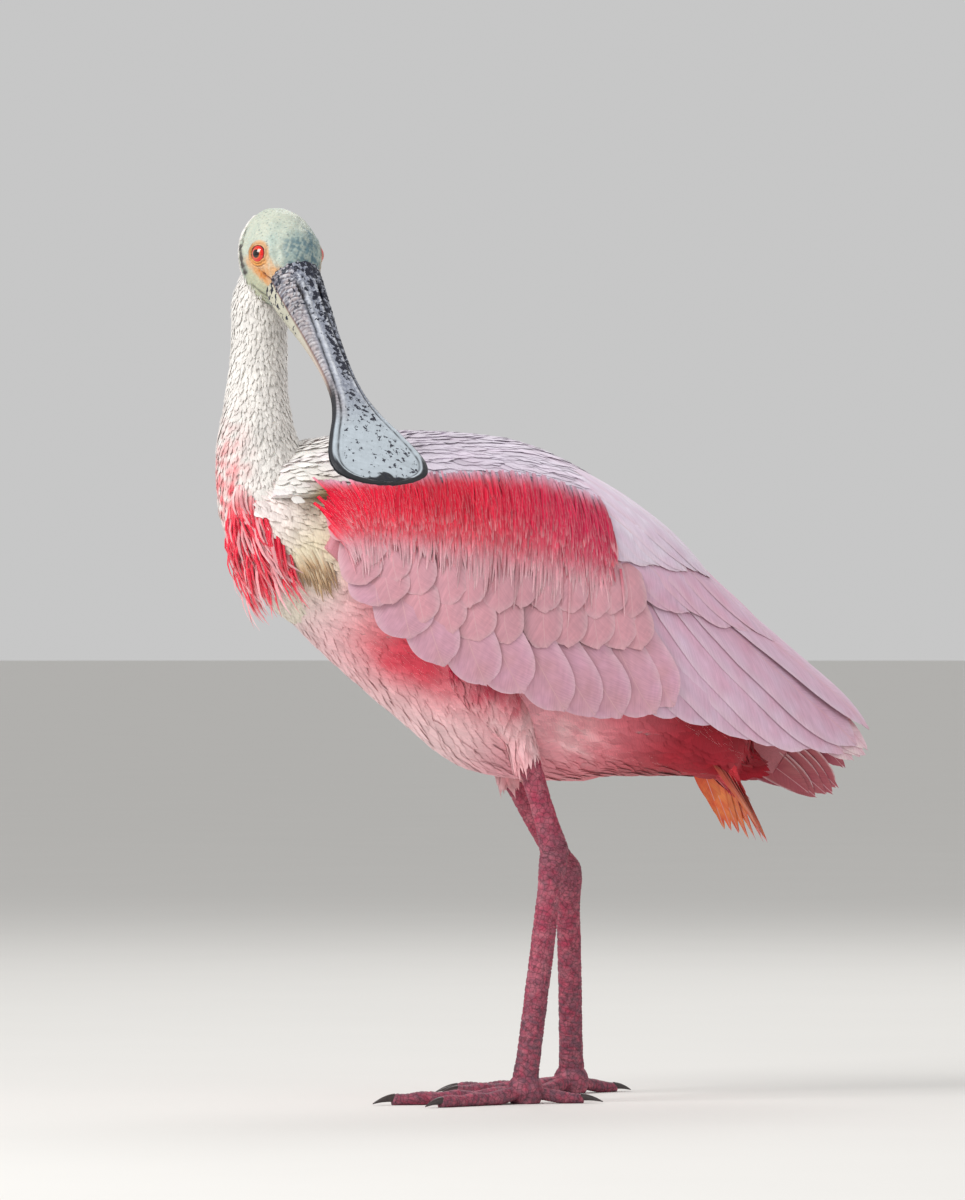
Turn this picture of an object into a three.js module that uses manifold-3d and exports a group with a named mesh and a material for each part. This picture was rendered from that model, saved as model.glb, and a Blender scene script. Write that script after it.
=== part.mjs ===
// A roseate spoonbill, life size, standing on both feet with its head turned back over its left side.
// Millimetres, +Z up. The bird faces -X, its left side is -Y, and the floor is Z = 0.
import * as THREE from "three";
import { mergeVertices } from "three/addons/utils/BufferGeometryUtils.js";
import Module from "manifold-3d";

const wasm = await Module();
wasm.setup();

// Driving dimensions, in millimetres and degrees.
const GAP = 0.3; // between nodes that touch
const BODY_PITCH = 25.8; // the trunk's axis slopes down to the tail by this much
const CHEST = [-163.5, 0, 313]; // where the trunk's axis starts, at the root of the neck
const HEAD_AT = [-155.9, -14, 455]; // middle of the skull
const BILL_TIP = 174; // from the middle of the skull to the tip of the bill
const EYE_RADIUS = 6.8;
const TAIL_LENGTH = 108;
const TAIL_SLOPE = 57; // the tail hangs this far below level
const TARSUS_RADIUS = 6.4;
const TOE_SPLIT = 20; // the foot's web reaches this far along each toe
const CLAW_LENGTH = 12;

const rad = THREE.MathUtils.degToRad;
const vec = (x, y, z) => new THREE.Vector3(x, y, z);
const lerp = THREE.MathUtils.lerp;

// Reads a smooth value from rows of [position, value, value, ...].
function profile(rows) {
  const last = rows.length - 1;
  const slope = (i, k) => {
    const a = rows[Math.max(i - 1, 0)];
    const b = rows[Math.min(i + 1, last)];
    return (b[k] - a[k]) / (b[0] - a[0]);
  };
  return (x) => {
    const at = THREE.MathUtils.clamp(x, rows[0][0], rows[last][0]);
    let i = 0;
    while (i < last - 1 && at > rows[i + 1][0]) i += 1;
    const [a, b] = [rows[i], rows[i + 1]];
    const span = b[0] - a[0];
    const t = (at - a[0]) / span;
    return a.slice(1).map((value, j) => {
      const k = j + 1;
      const h1 = t * t * t - 2 * t * t + t;
      const h2 = t * t * t - t * t;
      const ease = t * t * (3 - 2 * t);
      return lerp(value, b[k], ease) + span * (h1 * slope(i, k) + h2 * slope(i + 1, k));
    });
  };
}

// A closed three.js geometry as a solid with its faces pointing out.
function solidOf(geometry) {
  const bare = new THREE.BufferGeometry()
    .setAttribute("position", geometry.getAttribute("position"))
    .setIndex(geometry.index);
  const merged = mergeVertices(bare, 1e-4);
  const place = merged.getAttribute("position");
  const corner = (i) => new THREE.Vector3().fromBufferAttribute(place, i);
  const faces = [];
  let volume = 0;
  for (let i = 0; i < merged.index.count; i += 3) {
    const [a, b, c] = [0, 1, 2].map((k) => merged.index.getX(i + k));
    if (a === b || b === c || a === c) continue;
    faces.push([a, b, c]);
    volume += corner(a).dot(corner(b).cross(corner(c)));
  }
  const triVerts = Uint32Array.from(faces.flatMap(([a, b, c]) => (volume < 0 ? [a, c, b] : [a, b, c])));
  return new wasm.Manifold(new wasm.Mesh({ numProp: 3, vertProperties: place.array, triVerts }));
}

// The largest closed surface of a solid, which fills hollows and drops loose scraps.
function largest(solid) {
  return solid.decompose().reduce((a, b) => (b.volume() > a.volume() ? b : a));
}

function join(solids) {
  return largest(solids.reduce((a, b) => a.add(b)));
}

// A tube of rings with both ends capped. place(u, angle) gives its points, with u from 0 to 1 along it.
function tube(sides, rings, place) {
  const geometry = new THREE.CylinderGeometry(1, 1, 1, sides, rings);
  const at = geometry.getAttribute("position");
  for (let i = 0; i < at.count; i += 1) {
    const u = 0.5 - at.getY(i);
    const angle = Math.atan2(at.getX(i), at.getZ(i));
    const middle = Math.hypot(at.getX(i), at.getZ(i)) < 0.5;
    const p = middle ? place(u, 0).add(place(u, Math.PI)).multiplyScalar(0.5) : place(u, angle);
    at.setXYZ(i, p.x, p.y, p.z);
  }
  return solidOf(geometry);
}

// A form along a frame's own axis, from rows of [distance, rise above it, depth below it, half width].
// keel pinches the section under the axis towards a ridge, or fills it out where it is negative.
function form(frame, rows, sides, rings, grow = 0, keel = 0) {
  const at = profile(rows);
  const [start, end] = [rows[0][0] - grow, rows[rows.length - 1][0] + grow];
  return tube(sides, rings, (u, angle) => {
    const along = lerp(start, end, (1 - Math.cos(Math.PI * u)) / 2);
    const [rise, depth, half] = at(along);
    const height = Math.cos(angle) > 0 ? rise + (rise && grow) : depth + (depth && grow);
    const pinch = 1 + keel * Math.min(0, Math.cos(angle));
    return frame.point(along, (half * pinch + grow) * Math.sin(angle), height * Math.cos(angle));
  });
}

// A limb along a smooth line through [x, y, z, radius fore and aft, radius across] stations.
function limbPoint(stations) {
  const line = new THREE.CatmullRomCurve3(stations.map(([x, y, z]) => vec(x, y, z)), false, "centripetal");
  const radii = profile(stations.map(([, , , fore, across], i) => [i / (stations.length - 1), fore, across]));
  return (u, angle, lift) => {
    const along = line.getTangent(u);
    const fore = vec(1, 0, 0).addScaledVector(along, -along.x).normalize();
    const across = along.clone().cross(fore);
    const [a, b] = radii(u);
    return line
      .getPoint(u)
      .addScaledVector(fore, (a + lift) * Math.cos(angle))
      .addScaledVector(across, (b + lift) * Math.sin(angle));
  };
}
function limb(stations, sides, rings, grow = 0) {
  const point = limbPoint(stations);
  return tube(sides, rings, (u, angle) => point(u, angle, grow));
}

function ball(centre, radii, sides, rings) {
  const geometry = new THREE.SphereGeometry(1, sides, rings);
  geometry.scale(...radii).translate(...centre.toArray());
  return solidOf(geometry);
}

// A feather or lock: a thin closed slab along path(u) => {at, out}, both faces split into triangles alike.
// outline rows are [u, share of the half width]. The slab is thickest along its quill.
function vane(path, halfWidth, outline, { quill = 1.3, edge = 0.6, curl = 0, tilt = 0, grow = 0 } = {}) {
  const points = [];
  for (const [u, share] of outline) {
    const { at, out } = path(u);
    const ahead = path(Math.min(u + 0.02, 1)).at.sub(path(Math.max(u - 0.02, 0)).at).normalize();
    const across = out.clone().cross(ahead).normalize();
    const lift = ahead.clone().cross(across).normalize();
    for (const v of [-1, 0, 1]) {
      const offset = v * (halfWidth * share + grow);
      const middle = at
        .clone()
        .addScaledVector(across, offset)
        .addScaledVector(lift, tilt * offset - (curl * offset * offset) / halfWidth);
      const half = (v === 0 ? quill : edge) / 2 + grow;
      points.push(middle.clone().addScaledVector(lift, half), middle.clone().addScaledVector(lift, -half));
    }
  }
  const top = (row, column) => row * 6 + column * 2;
  const quad = (a, b, c, d) => [a, b, c, b, d, c];
  const faces = [];
  const rows = outline.length - 1;
  for (let i = 0; i < rows; i += 1) {
    for (let j = 0; j < 2; j += 1) {
      const [a, b, c, d] = [top(i, j), top(i, j + 1), top(i + 1, j), top(i + 1, j + 1)];
      faces.push(...quad(a, b, c, d), a + 1, c + 1, b + 1, b + 1, c + 1, d + 1);
    }
    faces.push(...quad(top(i, 0) + 1, top(i, 0), top(i + 1, 0) + 1, top(i + 1, 0)));
    faces.push(...quad(top(i, 2), top(i, 2) + 1, top(i + 1, 2), top(i + 1, 2) + 1));
  }
  for (let j = 0; j < 2; j += 1) {
    faces.push(...quad(top(0, j) + 1, top(0, j + 1) + 1, top(0, j), top(0, j + 1)));
    faces.push(...quad(top(rows, j), top(rows, j + 1), top(rows, j) + 1, top(rows, j + 1) + 1));
  }
  const geometry = new THREE.BufferGeometry().setFromPoints(points).setIndex(faces);
  return solidOf(geometry);
}
const LONG_VANE = [[0, 0.5], [0.4, 0.95], [0.75, 1], [0.94, 0.62], [1, 0.12]];
const SHORT_VANE = [[0, 0.6], [0.5, 1], [0.86, 0.8], [1, 0.15]];
const LOCK = [[0, 0.8], [0.6, 1], [1, 0.1]];

// The trunk's own frame: distances run down its axis to the tail, and heights stand square to that.
const bodyFrame = (() => {
  const along = vec(Math.cos(rad(BODY_PITCH)), 0, -Math.sin(rad(BODY_PITCH)));
  const rise = vec(Math.sin(rad(BODY_PITCH)), 0, Math.cos(rad(BODY_PITCH)));
  const point = (s, y, h) =>
    vec(...CHEST).addScaledVector(along, s).addScaledVector(rise, h).add(vec(0, y, 0));
  return { along, rise, point };
})();

// Trunk: [distance down the axis, rise to the back, depth to the belly, half width].
const TORSO = [
  [-24, 6, 3, 5],
  [-18, 22, 9, 17],
  [0, 45, 22, 33],
  [20, 59, 32, 42],
  [40, 69, 41, 49],
  [60, 79, 48, 54],
  [112, 97, 61, 60],
  [160, 97, 70, 60],
  [206, 86, 56, 52],
  [240, 70, 37, 42],
  [271, 48, 22, 30],
  [296, 24, 10, 16],
  [302, 8, 2, 5],
];
const BELLY_KEEL = 0.4;
const torso = (grow) => form(bodyFrame, TORSO, 24, 18, grow, BELLY_KEEL);

// Folded wings: the outer surface of both, as [distance down the axis, rise, half width] over the trunk.
const CLOAK = [
  [-10, 34, 32],
  [0, 46, 41],
  [30, 66, 53],
  [60, 82, 60],
  [112, 101, 66],
  [160, 102, 66],
  [206, 94, 60],
  [240, 83, 53],
  [271, 75, 45],
  [308, 64, 35],
  [343, 55, 24],
  [367, 46, 15],
  [390, 38, 8],
];
const CLOAK_DEPTH = 60;
const cloakAt = profile(CLOAK);

// Its point on one side: s down the axis, angle down from the ridge of the back, raised by lift.
function cloakPoint(side, s, angle, lift) {
  const [rise, half] = cloakAt(s);
  const height = Math.cos(angle) > 0 ? rise : CLOAK_DEPTH;
  return bodyFrame.point(s, side * (half + lift) * Math.sin(angle), (height + lift) * Math.cos(angle));
}
function cloakAngle(s, h) {
  const [rise] = cloakAt(s);
  return Math.acos(THREE.MathUtils.clamp(h > 0 ? h / rise : h / CLOAK_DEPTH, -0.99, 0.995));
}
function cloakNormal(side, s, angle) {
  const here = cloakPoint(side, s, angle, 0);
  const down = cloakPoint(side, s, angle + 0.02, 0).sub(here);
  const back = cloakPoint(side, s + 1, angle, 0).sub(here);
  return back.cross(down).multiplyScalar(-side).normalize();
}

// The wing's flesh and bases of its feathers, as a slab between two angles that narrows to the rear.
// Rows are [distance, height of its upper edge, height of its lower edge, thickness].
const WING_CORE = [
  [16, 26, 2, 16],
  [30, 42, -6, 20],
  [60, 62, -16, 22],
  [112, 86, -18, 22],
  [160, 94, -14, 22],
  [206, 88, -4, 18],
  [240, 79, 8, 14],
  [271, 71, 18, 9],
  [308, 61, 24, 6],
  [335, 52, 30, 4],
];
const CORE_COLUMNS = 5;
const CORE_RINGS = 10;
function wingCore(side) {
  const at = profile(WING_CORE);
  const [start, end] = [WING_CORE[0][0], WING_CORE[WING_CORE.length - 1][0]];
  return tube(2 * CORE_COLUMNS + 2, CORE_RINGS, (u, angle) => {
    const s = lerp(start, end, u);
    const [upper, lower, thick] = at(s);
    // The section runs out along the top face and back along the bottom one.
    const turn = (angle / (2 * Math.PI) + 1) % 1;
    const outer = turn < 0.5;
    const across = outer ? turn * 2 : 2 - turn * 2;
    const share = THREE.MathUtils.clamp(across * (1 + 1 / CORE_COLUMNS) - 0.5 / CORE_COLUMNS, 0, 1);
    const bearing = lerp(cloakAngle(s, upper), cloakAngle(s, lower), share);
    const sunk = across < 0.01 || across > 0.99 ? -thick / 2 : outer ? -1 : -thick;
    return cloakPoint(side, s, bearing, sunk);
  });
}

// One tier of a wing's feathers. Roots and tips are lines of [distance, height] from the shoulder back.
const WING_TIERS = {
  primary: {
    count: 2, half: 10, outline: LONG_VANE, lift: [-7, -2.4], step: 0.9, tilt: -0.1,
    roots: [[256, 42], [256, 54]],
    tips: [[354, 27], [366, 37]],
  },
  tertial: {
    count: 5, half: 19, outline: LONG_VANE, lift: [-4.5, -1.4], step: 0.9, tilt: -0.09,
    roots: [[176, 30], [184, 44], [194, 56], [206, 66], [216, 74]],
    tips: [[256, 7], [288, 13], [320, 19], [350, 29], [361, 45]],
  },
  greater: {
    count: 6, half: 15, outline: SHORT_VANE, lift: [-4, 1.2], step: 0, tilt: 0.1,
    roots: [[44, 12], [70, 20], [108, 26], [146, 36], [180, 44]],
    tips: [[62, -22], [104, -33], [156, -28], [202, -20], [238, 2]],
  },
  median: {
    count: 5, half: 15, outline: SHORT_VANE, lift: [-3, 2.6], step: 0, tilt: 0.1,
    roots: [[34, 16], [70, 34], [112, 48], [150, 60], [178, 66]],
    tips: [[48, -8], [90, -12], [126, -2], [164, 14], [204, 30]],
  },
  lesser: {
    count: 5, half: 15, outline: LOCK, lift: [-1.5, 3.6], step: 0, tilt: 0.08,
    roots: [[20, 24], [50, 46], [85, 65], [120, 79], [152, 86]],
    tips: [[31, 0], [62, 13], [100, 24], [134, 33], [172, 44]],
  },
  scapular: {
    count: 2, half: 22, outline: LONG_VANE, lift: [-2, 0.2], step: 0.4, tilt: -0.05,
    roots: [[150, 80], [150, 90], [150, 99]],
    tips: [[222, 54], [262, 60], [300, 64]],
  },
};
function tierVanes(side, tier) {
  const line = (points) => new THREE.SplineCurve(points.map(([s, h]) => new THREE.Vector2(s, h)));
  const [roots, tips] = [line(tier.roots), line(tier.tips)];
  return Array.from({ length: tier.count }, (_, i) => {
    const share = i / (tier.count - 1);
    const [root, tip] = [roots.getPoint(share), tips.getPoint(share)];
    const [from, to] = [cloakAngle(root.x, root.y), cloakAngle(tip.x, tip.y)];
    const path = (u) => {
      const s = lerp(root.x, tip.x, u);
      const angle = lerp(from, to, u * (1.25 - 0.25 * u));
      const lift = lerp(tier.lift[0], tier.lift[1], Math.min(1, u * 1.6)) + tier.step * i;
      return { at: cloakPoint(side, s, angle, lift), out: cloakNormal(side, s, angle) };
    };
    return vane(path, tier.half, tier.outline, { tilt: -side * tier.tilt, curl: 0.1 });
  });
}

// The one scapular of the right side that stands off the back: its root and tip on the trunk, and its arch.
const LOOSE = { root: [120, 22, 84], tip: [201, 10, 107], arch: 9, half: 8, out: [0.35, 0.55, 0.75] };
function looseScapular(side) {
  const [root, tip] = [LOOSE.root, LOOSE.tip].map(([s, y, h]) => bodyFrame.point(s, side * y, h));
  const [x, y, z] = LOOSE.out;
  const path = (u) => ({
    at: root.clone().lerp(tip, u).addScaledVector(bodyFrame.rise, LOOSE.arch * Math.sin(Math.PI * u)),
    out: vec(x, side * y, z).normalize(),
  });
  return vane(path, LOOSE.half, LONG_VANE, { curl: 0.2 });
}

const RIGHT_WING_DROOP = 4.5; // the far wing hangs a little lower than the near one
function wing(side, clear) {
  const pieces = [wingCore(side), ...Object.values(WING_TIERS).flatMap((tier) => tierVanes(side, tier))];
  let whole = pieces.reduce((a, b) => a.add(b));
  if (side > 0) {
    const pivot = bodyFrame.point(60, 0, 30);
    const turn = new THREE.Matrix4()
      .makeTranslation(pivot)
      .multiply(new THREE.Matrix4().makeRotationY(rad(RIGHT_WING_DROOP)))
      .multiply(new THREE.Matrix4().makeTranslation(pivot.negate()));
    whole = whole.transform(turn.elements).add(looseScapular(side));
  }
  const trimmed = whole.trimByPlane([0, side, 0], GAP / 2);
  return largest(clear.reduce((a, b) => a.subtract(b), trimmed));
}

// Neck: stations up the middle line, as [x, y, z, radius fore and aft, radius across].
const NECK = [
  [-116, 0, 262, 18, 18],
  [-134, 0, 282, 27, 25],
  [-149, 0, 303, 29, 28],
  [-159, 0, 325, 27, 26.5],
  [-164.5, 0, 350, 22.5, 22.5],
  [-165, 1, 377, 17, 17.5],
  [-163, 3, 405, 14.8, 15],
  [-163, 4, 430, 14.4, 15],
  [-161, 1, 450, 14.5, 15.5],
];
const neckTube = () => limb(NECK, 16, 14);

// The shaggy plume on the lower foreneck: locks in rows, rooted in the neck and hanging down.
const PLUME = {
  rows: 2, inRow: 5, from: 0.27, to: 0.4, turn: 12, spread: 124, drop: 32, uneven: 6, half: 7.5,
  swell: 10, settle: 6, back: 8, sunk: 4,
};
function plume() {
  const onNeck = limbPoint(NECK);
  const locks = [];
  for (let row = 0; row < PLUME.rows; row += 1) {
    for (let k = 0; k < PLUME.inRow; k += 1) {
      const share = (k + (row % 2) * 0.5) / PLUME.inRow - 0.5;
      const bearing = rad(PLUME.turn + PLUME.spread * share);
      const out = vec(-Math.cos(bearing), -Math.sin(bearing), 0);
      const up = lerp(PLUME.from, PLUME.to, row / (PLUME.rows - 1));
      const root = onNeck(up, Math.PI - bearing, -PLUME.sunk);
      const drop = PLUME.drop + PLUME.uneven * Math.sin(3 * row + 2 * k);
      const path = (u) => ({
        at: root
          .clone()
          .addScaledVector(out, PLUME.swell * Math.sin(1.5 * u) - PLUME.settle * u * u)
          .add(vec(PLUME.back * u * u, 0, -drop * u)),
        out: out.clone().add(vec(0, 0, 0.3)).normalize(),
      });
      locks.push(vane(path, PLUME.half, LOCK, { quill: 2, edge: 0.7, curl: 0.3 }));
    }
  }
  return locks;
}

// The head's own frame: forward along the bill, right across the skull, and up through the crown.
const headFrame = (() => {
  const along = vec(0.129, -0.683, -0.719).normalize();
  const right = vec(-0.983, -0.186, 0).normalize();
  const rise = right.clone().cross(along).normalize();
  const point = (f, r, u) =>
    vec(...HEAD_AT).addScaledVector(along, f).addScaledVector(right, r).addScaledVector(rise, u);
  return { along, right, rise, point };
})();

// Skull and bare face: [forward, crown, jaw, half width].
const HEAD = [
  [-27, 3, 3, 3],
  [-22, 12.5, 12, 12],
  [-12, 18.8, 19, 18],
  [0, 20.8, 23, 20.4],
  [8, 20.4, 24.4, 19.6],
  [14, 18.4, 23.6, 17.4],
  [20, 14.6, 20, 14.8],
  [24, 9, 13, 11],
  [26, 3, 5, 4],
];
const JAW_FULLNESS = 0.25; // the cheeks fill out under the middle of the skull
const skull = (grow) => form(headFrame, HEAD, 18, 12, grow, -JAW_FULLNESS);
const EYE = { forward: 6.6, up: 6.2, across: 13.6 };
const eyeAt = (side) => headFrame.point(EYE.forward, side * EYE.across, EYE.up);
const eyeball = (side, grow = 0) => ball(eyeAt(side), Array(3).fill(EYE_RADIUS + grow), 12, 8);

// Turns a geometry made along +Z so that it faces a direction at a point.
function facing(geometry, at, direction) {
  const turn = new THREE.Quaternion().setFromUnitVectors(vec(0, 0, 1), direction.clone().normalize());
  geometry.applyQuaternion(turn).translate(...at.toArray());
  return solidOf(geometry);
}
// The ring of both lids, the ear's opening behind the eye, and the slit at the corner of the mouth.
const LID = { radius: 4.9, thick: 1.15, ahead: 0.9, out: 4.6, turn: 0.22 };
const EAR = { forward: -9, across: 19.6, up: -2.5, radii: [1.6, 1.6, 2.2] };
const GAPE = { forward: 19, across: 16, up: -0.2, size: [9, 4, 0.8] };
function lids(side) {
  const outward = headFrame.right.clone().multiplyScalar(side).addScaledVector(headFrame.along, LID.turn);
  const rim = headFrame.point(EYE.forward + LID.ahead, side * (EYE.across + LID.out), EYE.up);
  return facing(new THREE.TorusGeometry(LID.radius, LID.thick, 5, 12), rim, outward);
}
function earHole(side) {
  return ball(headFrame.point(EAR.forward, side * EAR.across, EAR.up), EAR.radii, 6, 5);
}
function gapeSlit(side) {
  const slit = new THREE.BoxGeometry(...GAPE.size);
  const frame = new THREE.Matrix4().makeBasis(headFrame.along, headFrame.right, headFrame.rise);
  slit.applyMatrix4(frame).translate(...headFrame.point(GAPE.forward, side * GAPE.across, GAPE.up).toArray());
  return solidOf(slit);
}
function head() {
  let whole = join([skull(0), lids(-1), lids(1)]);
  for (const side of [-1, 1]) {
    whole = whole.subtract(eyeball(side, GAP)).subtract(earHole(side)).subtract(gapeSlit(side));
  }
  return largest(whole);
}

// Both halves of the bill, as [forward, height over the mouth line, depth under it, half width].
const BILL = [
  [16, 13, 14.5, 13.4],
  [22, 13.2, 16, 14.2],
  [30, 11.6, 15.6, 14],
  [44, 9.2, 12.8, 12.8],
  [62, 7, 8.6, 10.8],
  [80, 5.4, 5.4, 9.3],
  [96, 4.4, 3.9, 8.8],
  [110, 3.8, 3, 10.2],
  [124, 3.3, 2.6, 14.6],
  [138, 3, 2.3, 21.2],
  [151, 2.8, 2.1, 26.6],
  [160, 2.6, 2, 28],
  [167, 2.3, 1.8, 24.8],
  [172, 1.9, 1.5, 15],
  [BILL_TIP, 1.4, 1.2, 5],
];
const BILL_RISE = 0.9; // the mouth line's height in the head's frame
const LOWER_BILL_WIDTH = 0.95;
const LOWER_BILL_FULLNESS = 0.4;
function billHalf(upper) {
  const shift = upper ? BILL_RISE + GAP / 2 : BILL_RISE - GAP / 2;
  const frame = { point: (f, r, u) => headFrame.point(f, r, u + shift) };
  const rows = BILL.map(([f, over, under, half]) =>
    upper ? [f, over, 0, half] : [f, 0, under, half * LOWER_BILL_WIDTH],
  );
  return form(frame, rows, 12, 16, 0, upper ? 0 : -LOWER_BILL_FULLNESS);
}
// The slit of each nostril, high on the base of the bill beside its ridge, both closing in forwards.
const NOSTRIL = { forward: 38, across: 4.6, up: 10.2, radii: [5.5, 1, 2.4], closing: 0.12 };
function nostril(side) {
  const along = headFrame.along.clone().addScaledVector(headFrame.right, -side * NOSTRIL.closing).normalize();
  const at = headFrame.point(NOSTRIL.forward, side * NOSTRIL.across, BILL_RISE + NOSTRIL.up);
  const turn = new THREE.Matrix4().makeBasis(along, headFrame.right, headFrame.rise).setPosition(at);
  return ball(vec(0, 0, 0), NOSTRIL.radii, 6, 4).transform(turn.elements);
}

// Tail: coverts round its root and a fan of feathers.
const tailFrame = (() => {
  const along = vec(Math.cos(rad(TAIL_SLOPE)), 0, -Math.sin(rad(TAIL_SLOPE)));
  const rise = vec(Math.sin(rad(TAIL_SLOPE)), 0, Math.cos(rad(TAIL_SLOPE)));
  const root = bodyFrame.point(244, 0, 24);
  const point = (s, y, h) =>
    root.clone().addScaledVector(along, s).addScaledVector(rise, h).add(vec(0, y, 0));
  return { along, rise, point };
})();
const TAIL_COVERTS = [
  [0, 22, 22, 22],
  [20, 19, 20, 22],
  [40, 11, 14, 20],
  [58, 5, 7, 15],
  [72, 1.6, 2.4, 7],
];
const TAIL_FEATHERS = 12;
const TAIL_VANE = {
  half: 8, turn: 3.1, shorter: 1.6, lower: 1.6, root: 20, top: 3, droop: 5, aside: 1.5, over: 0.8,
};
function tail(clear) {
  const pieces = [form(tailFrame, TAIL_COVERTS, 12, 6)];
  for (let i = 0; i < TAIL_FEATHERS; i += 1) {
    const side = i % 2 ? 1 : -1;
    const rank = Math.floor(i / 2);
    const spread = side * (rank + 0.5) * rad(TAIL_VANE.turn);
    const length = TAIL_LENGTH - rank * TAIL_VANE.shorter;
    const level = TAIL_VANE.top - rank * TAIL_VANE.lower + (side > 0 ? TAIL_VANE.over : 0);
    const path = (u) => ({
      at: tailFrame.point(
        lerp(TAIL_VANE.root, length * Math.cos(spread), u),
        length * u * Math.sin(spread) + side * TAIL_VANE.aside,
        level - TAIL_VANE.droop * u * u,
      ),
      out: tailFrame.rise.clone().add(vec(0, side * 0.1 * rank, 0)).normalize(),
    });
    pieces.push(vane(path, TAIL_VANE.half, SHORT_VANE, { edge: 0.6, quill: 1.2, curl: 0.08 }));
  }
  return largest(clear.reduce((a, b) => a.subtract(b), pieces.reduce((a, b) => a.add(b))));
}

// Legs. Each row of stations is [x, y, z, radius fore and aft, radius across], from the top down.
const LEGS = {
  left: {
    side: -1,
    thigh: [
      [-62, -26, 268, 32, 20],
      [-46, -33, 232, 23, 17],
      [-34, -34, 208, 12.5, 11.5],
      [-27.5, -33, 195, 7.4, 7.2],
    ],
    shin: [
      [-32, -33, 205, 6.6, 6.2],
      [-24, -32.5, 186, 6.4, 5.8],
      [-16, -31.5, 162, 6.2, 5.4],
      [-9, -31, 140, 6.6, 5.8],
      [-8, -31, 134, 6.6, 5.8],
    ],
    ankle: [-8, -31, 134],
    foot: [-25, -33, 13],
    heading: 4,
  },
  right: {
    side: 1,
    thigh: [
      [-56, 26, 262, 32, 20],
      [-40, 32, 226, 23, 17],
      [-22, 33, 196, 13, 12],
      [-12, 33, 178, 7.4, 7.2],
    ],
    shin: [
      [-16, 33, 186, 6.6, 6.2],
      [-5, 33.5, 165, 6.4, 5.8],
      [6, 34.5, 146, 6.2, 5.4],
      [20, 36, 126, 6.6, 5.8],
      [22, 36, 122, 6.6, 5.8],
    ],
    ankle: [22, 36, 122],
    foot: [34, 66, 13],
    heading: -12,
  },
};
const ANKLE_RADII = [8.2, 7, 9];
const FOOT_RADII = [7.6, 7, 7.8];
const swollen = (radii, grow) => radii.map((radius) => radius + grow);
const thigh = (leg, grow) => limb(leg.thigh, 14, 8, grow);
const ankleBall = (leg, grow = 0) => ball(vec(...leg.ankle), swollen(ANKLE_RADII, grow), 10, 7);
const footBall = (leg, grow = 0) => ball(vec(...leg.foot), swollen(FOOT_RADII, grow), 8, 6);
function shin(leg, clear) {
  const whole = limb(leg.shin, 10, 8).subtract(thigh(leg, GAP)).subtract(ankleBall(leg, GAP));
  return largest(whole.subtract(clear));
}
function tarsus(leg) {
  const [top, bottom] = [vec(...leg.ankle), vec(...leg.foot)];
  const shaft = limb(
    [0, 0.12, 0.3, 0.6, 0.85, 1].map((u) => {
      const flare = 1 + 0.16 * Math.exp(-9 * u) + 0.1 * Math.exp(-12 * (1 - u));
      const p = top.clone().lerp(bottom, u);
      return [...p.toArray(), TARSUS_RADIUS * flare, TARSUS_RADIUS * 0.82 * flare];
    }),
    10,
    8,
  );
  return largest(join([shaft, ankleBall(leg)]).subtract(footBall(leg, GAP)));
}

// Toes: [name, turn from the foot's heading, length with the claw, radius at the base]. The left foot is
// the right one mirrored.
const TOES = [
  ["inner", -29, 66, 4.3],
  ["middle", 0, 84, 4.6],
  ["outer", 30, 74, 4.3],
  ["hind", 172, 42, 4],
];
const TOE_TIP_SHARE = 0.72;
const TOE_RISE = { over: 4, within: 20 }; // each toe comes down from the foot over this distance
const KNUCKLES = { swell: 0.07, pitch: 19 };
function toeFrame(leg, turn) {
  const yaw = rad(180) - leg.side * rad(turn + leg.heading * leg.side);
  const along = vec(Math.cos(yaw), Math.sin(yaw), 0);
  return { along, across: vec(-along.y, along.x, 0), origin: vec(leg.foot[0], leg.foot[1], 0) };
}
function toeTube(leg, [, turn, length, radius]) {
  const { along, across, origin } = toeFrame(leg, turn);
  const end = length - CLAW_LENGTH;
  const knuckles = (d) => 1 + KNUCKLES.swell * Math.cos((d * 2 * Math.PI) / KNUCKLES.pitch);
  return tube(8, 6, (u, angle) => {
    const d = end * u;
    const r = radius * lerp(1, TOE_TIP_SHARE, u) * knuckles(d);
    const height = r * 0.9 + Math.max(0, 1 - d / TOE_RISE.within) * TOE_RISE.over;
    return origin
      .clone()
      .addScaledVector(along, d)
      .addScaledVector(across, r * Math.sin(angle))
      .add(vec(0, 0, height + r * Math.cos(angle)));
  }).trimByPlane([0, 0, 1], 0);
}
function claw(leg, [, turn, length, radius]) {
  const { along, across, origin } = toeFrame(leg, turn);
  const start = length - CLAW_LENGTH + GAP;
  const base = radius * TOE_TIP_SHARE * 0.82;
  return tube(6, 4, (u, angle) => {
    const r = lerp(base, 0.35, u * u * 0.5 + u * 0.5);
    const height = lerp(base * 1.25, 0.9, u * u);
    return origin
      .clone()
      .addScaledVector(along, start + (length - start) * u)
      .addScaledVector(across, r * 0.8 * Math.sin(angle))
      .add(vec(0, 0, height + r * Math.cos(angle)));
  });
}
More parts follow.
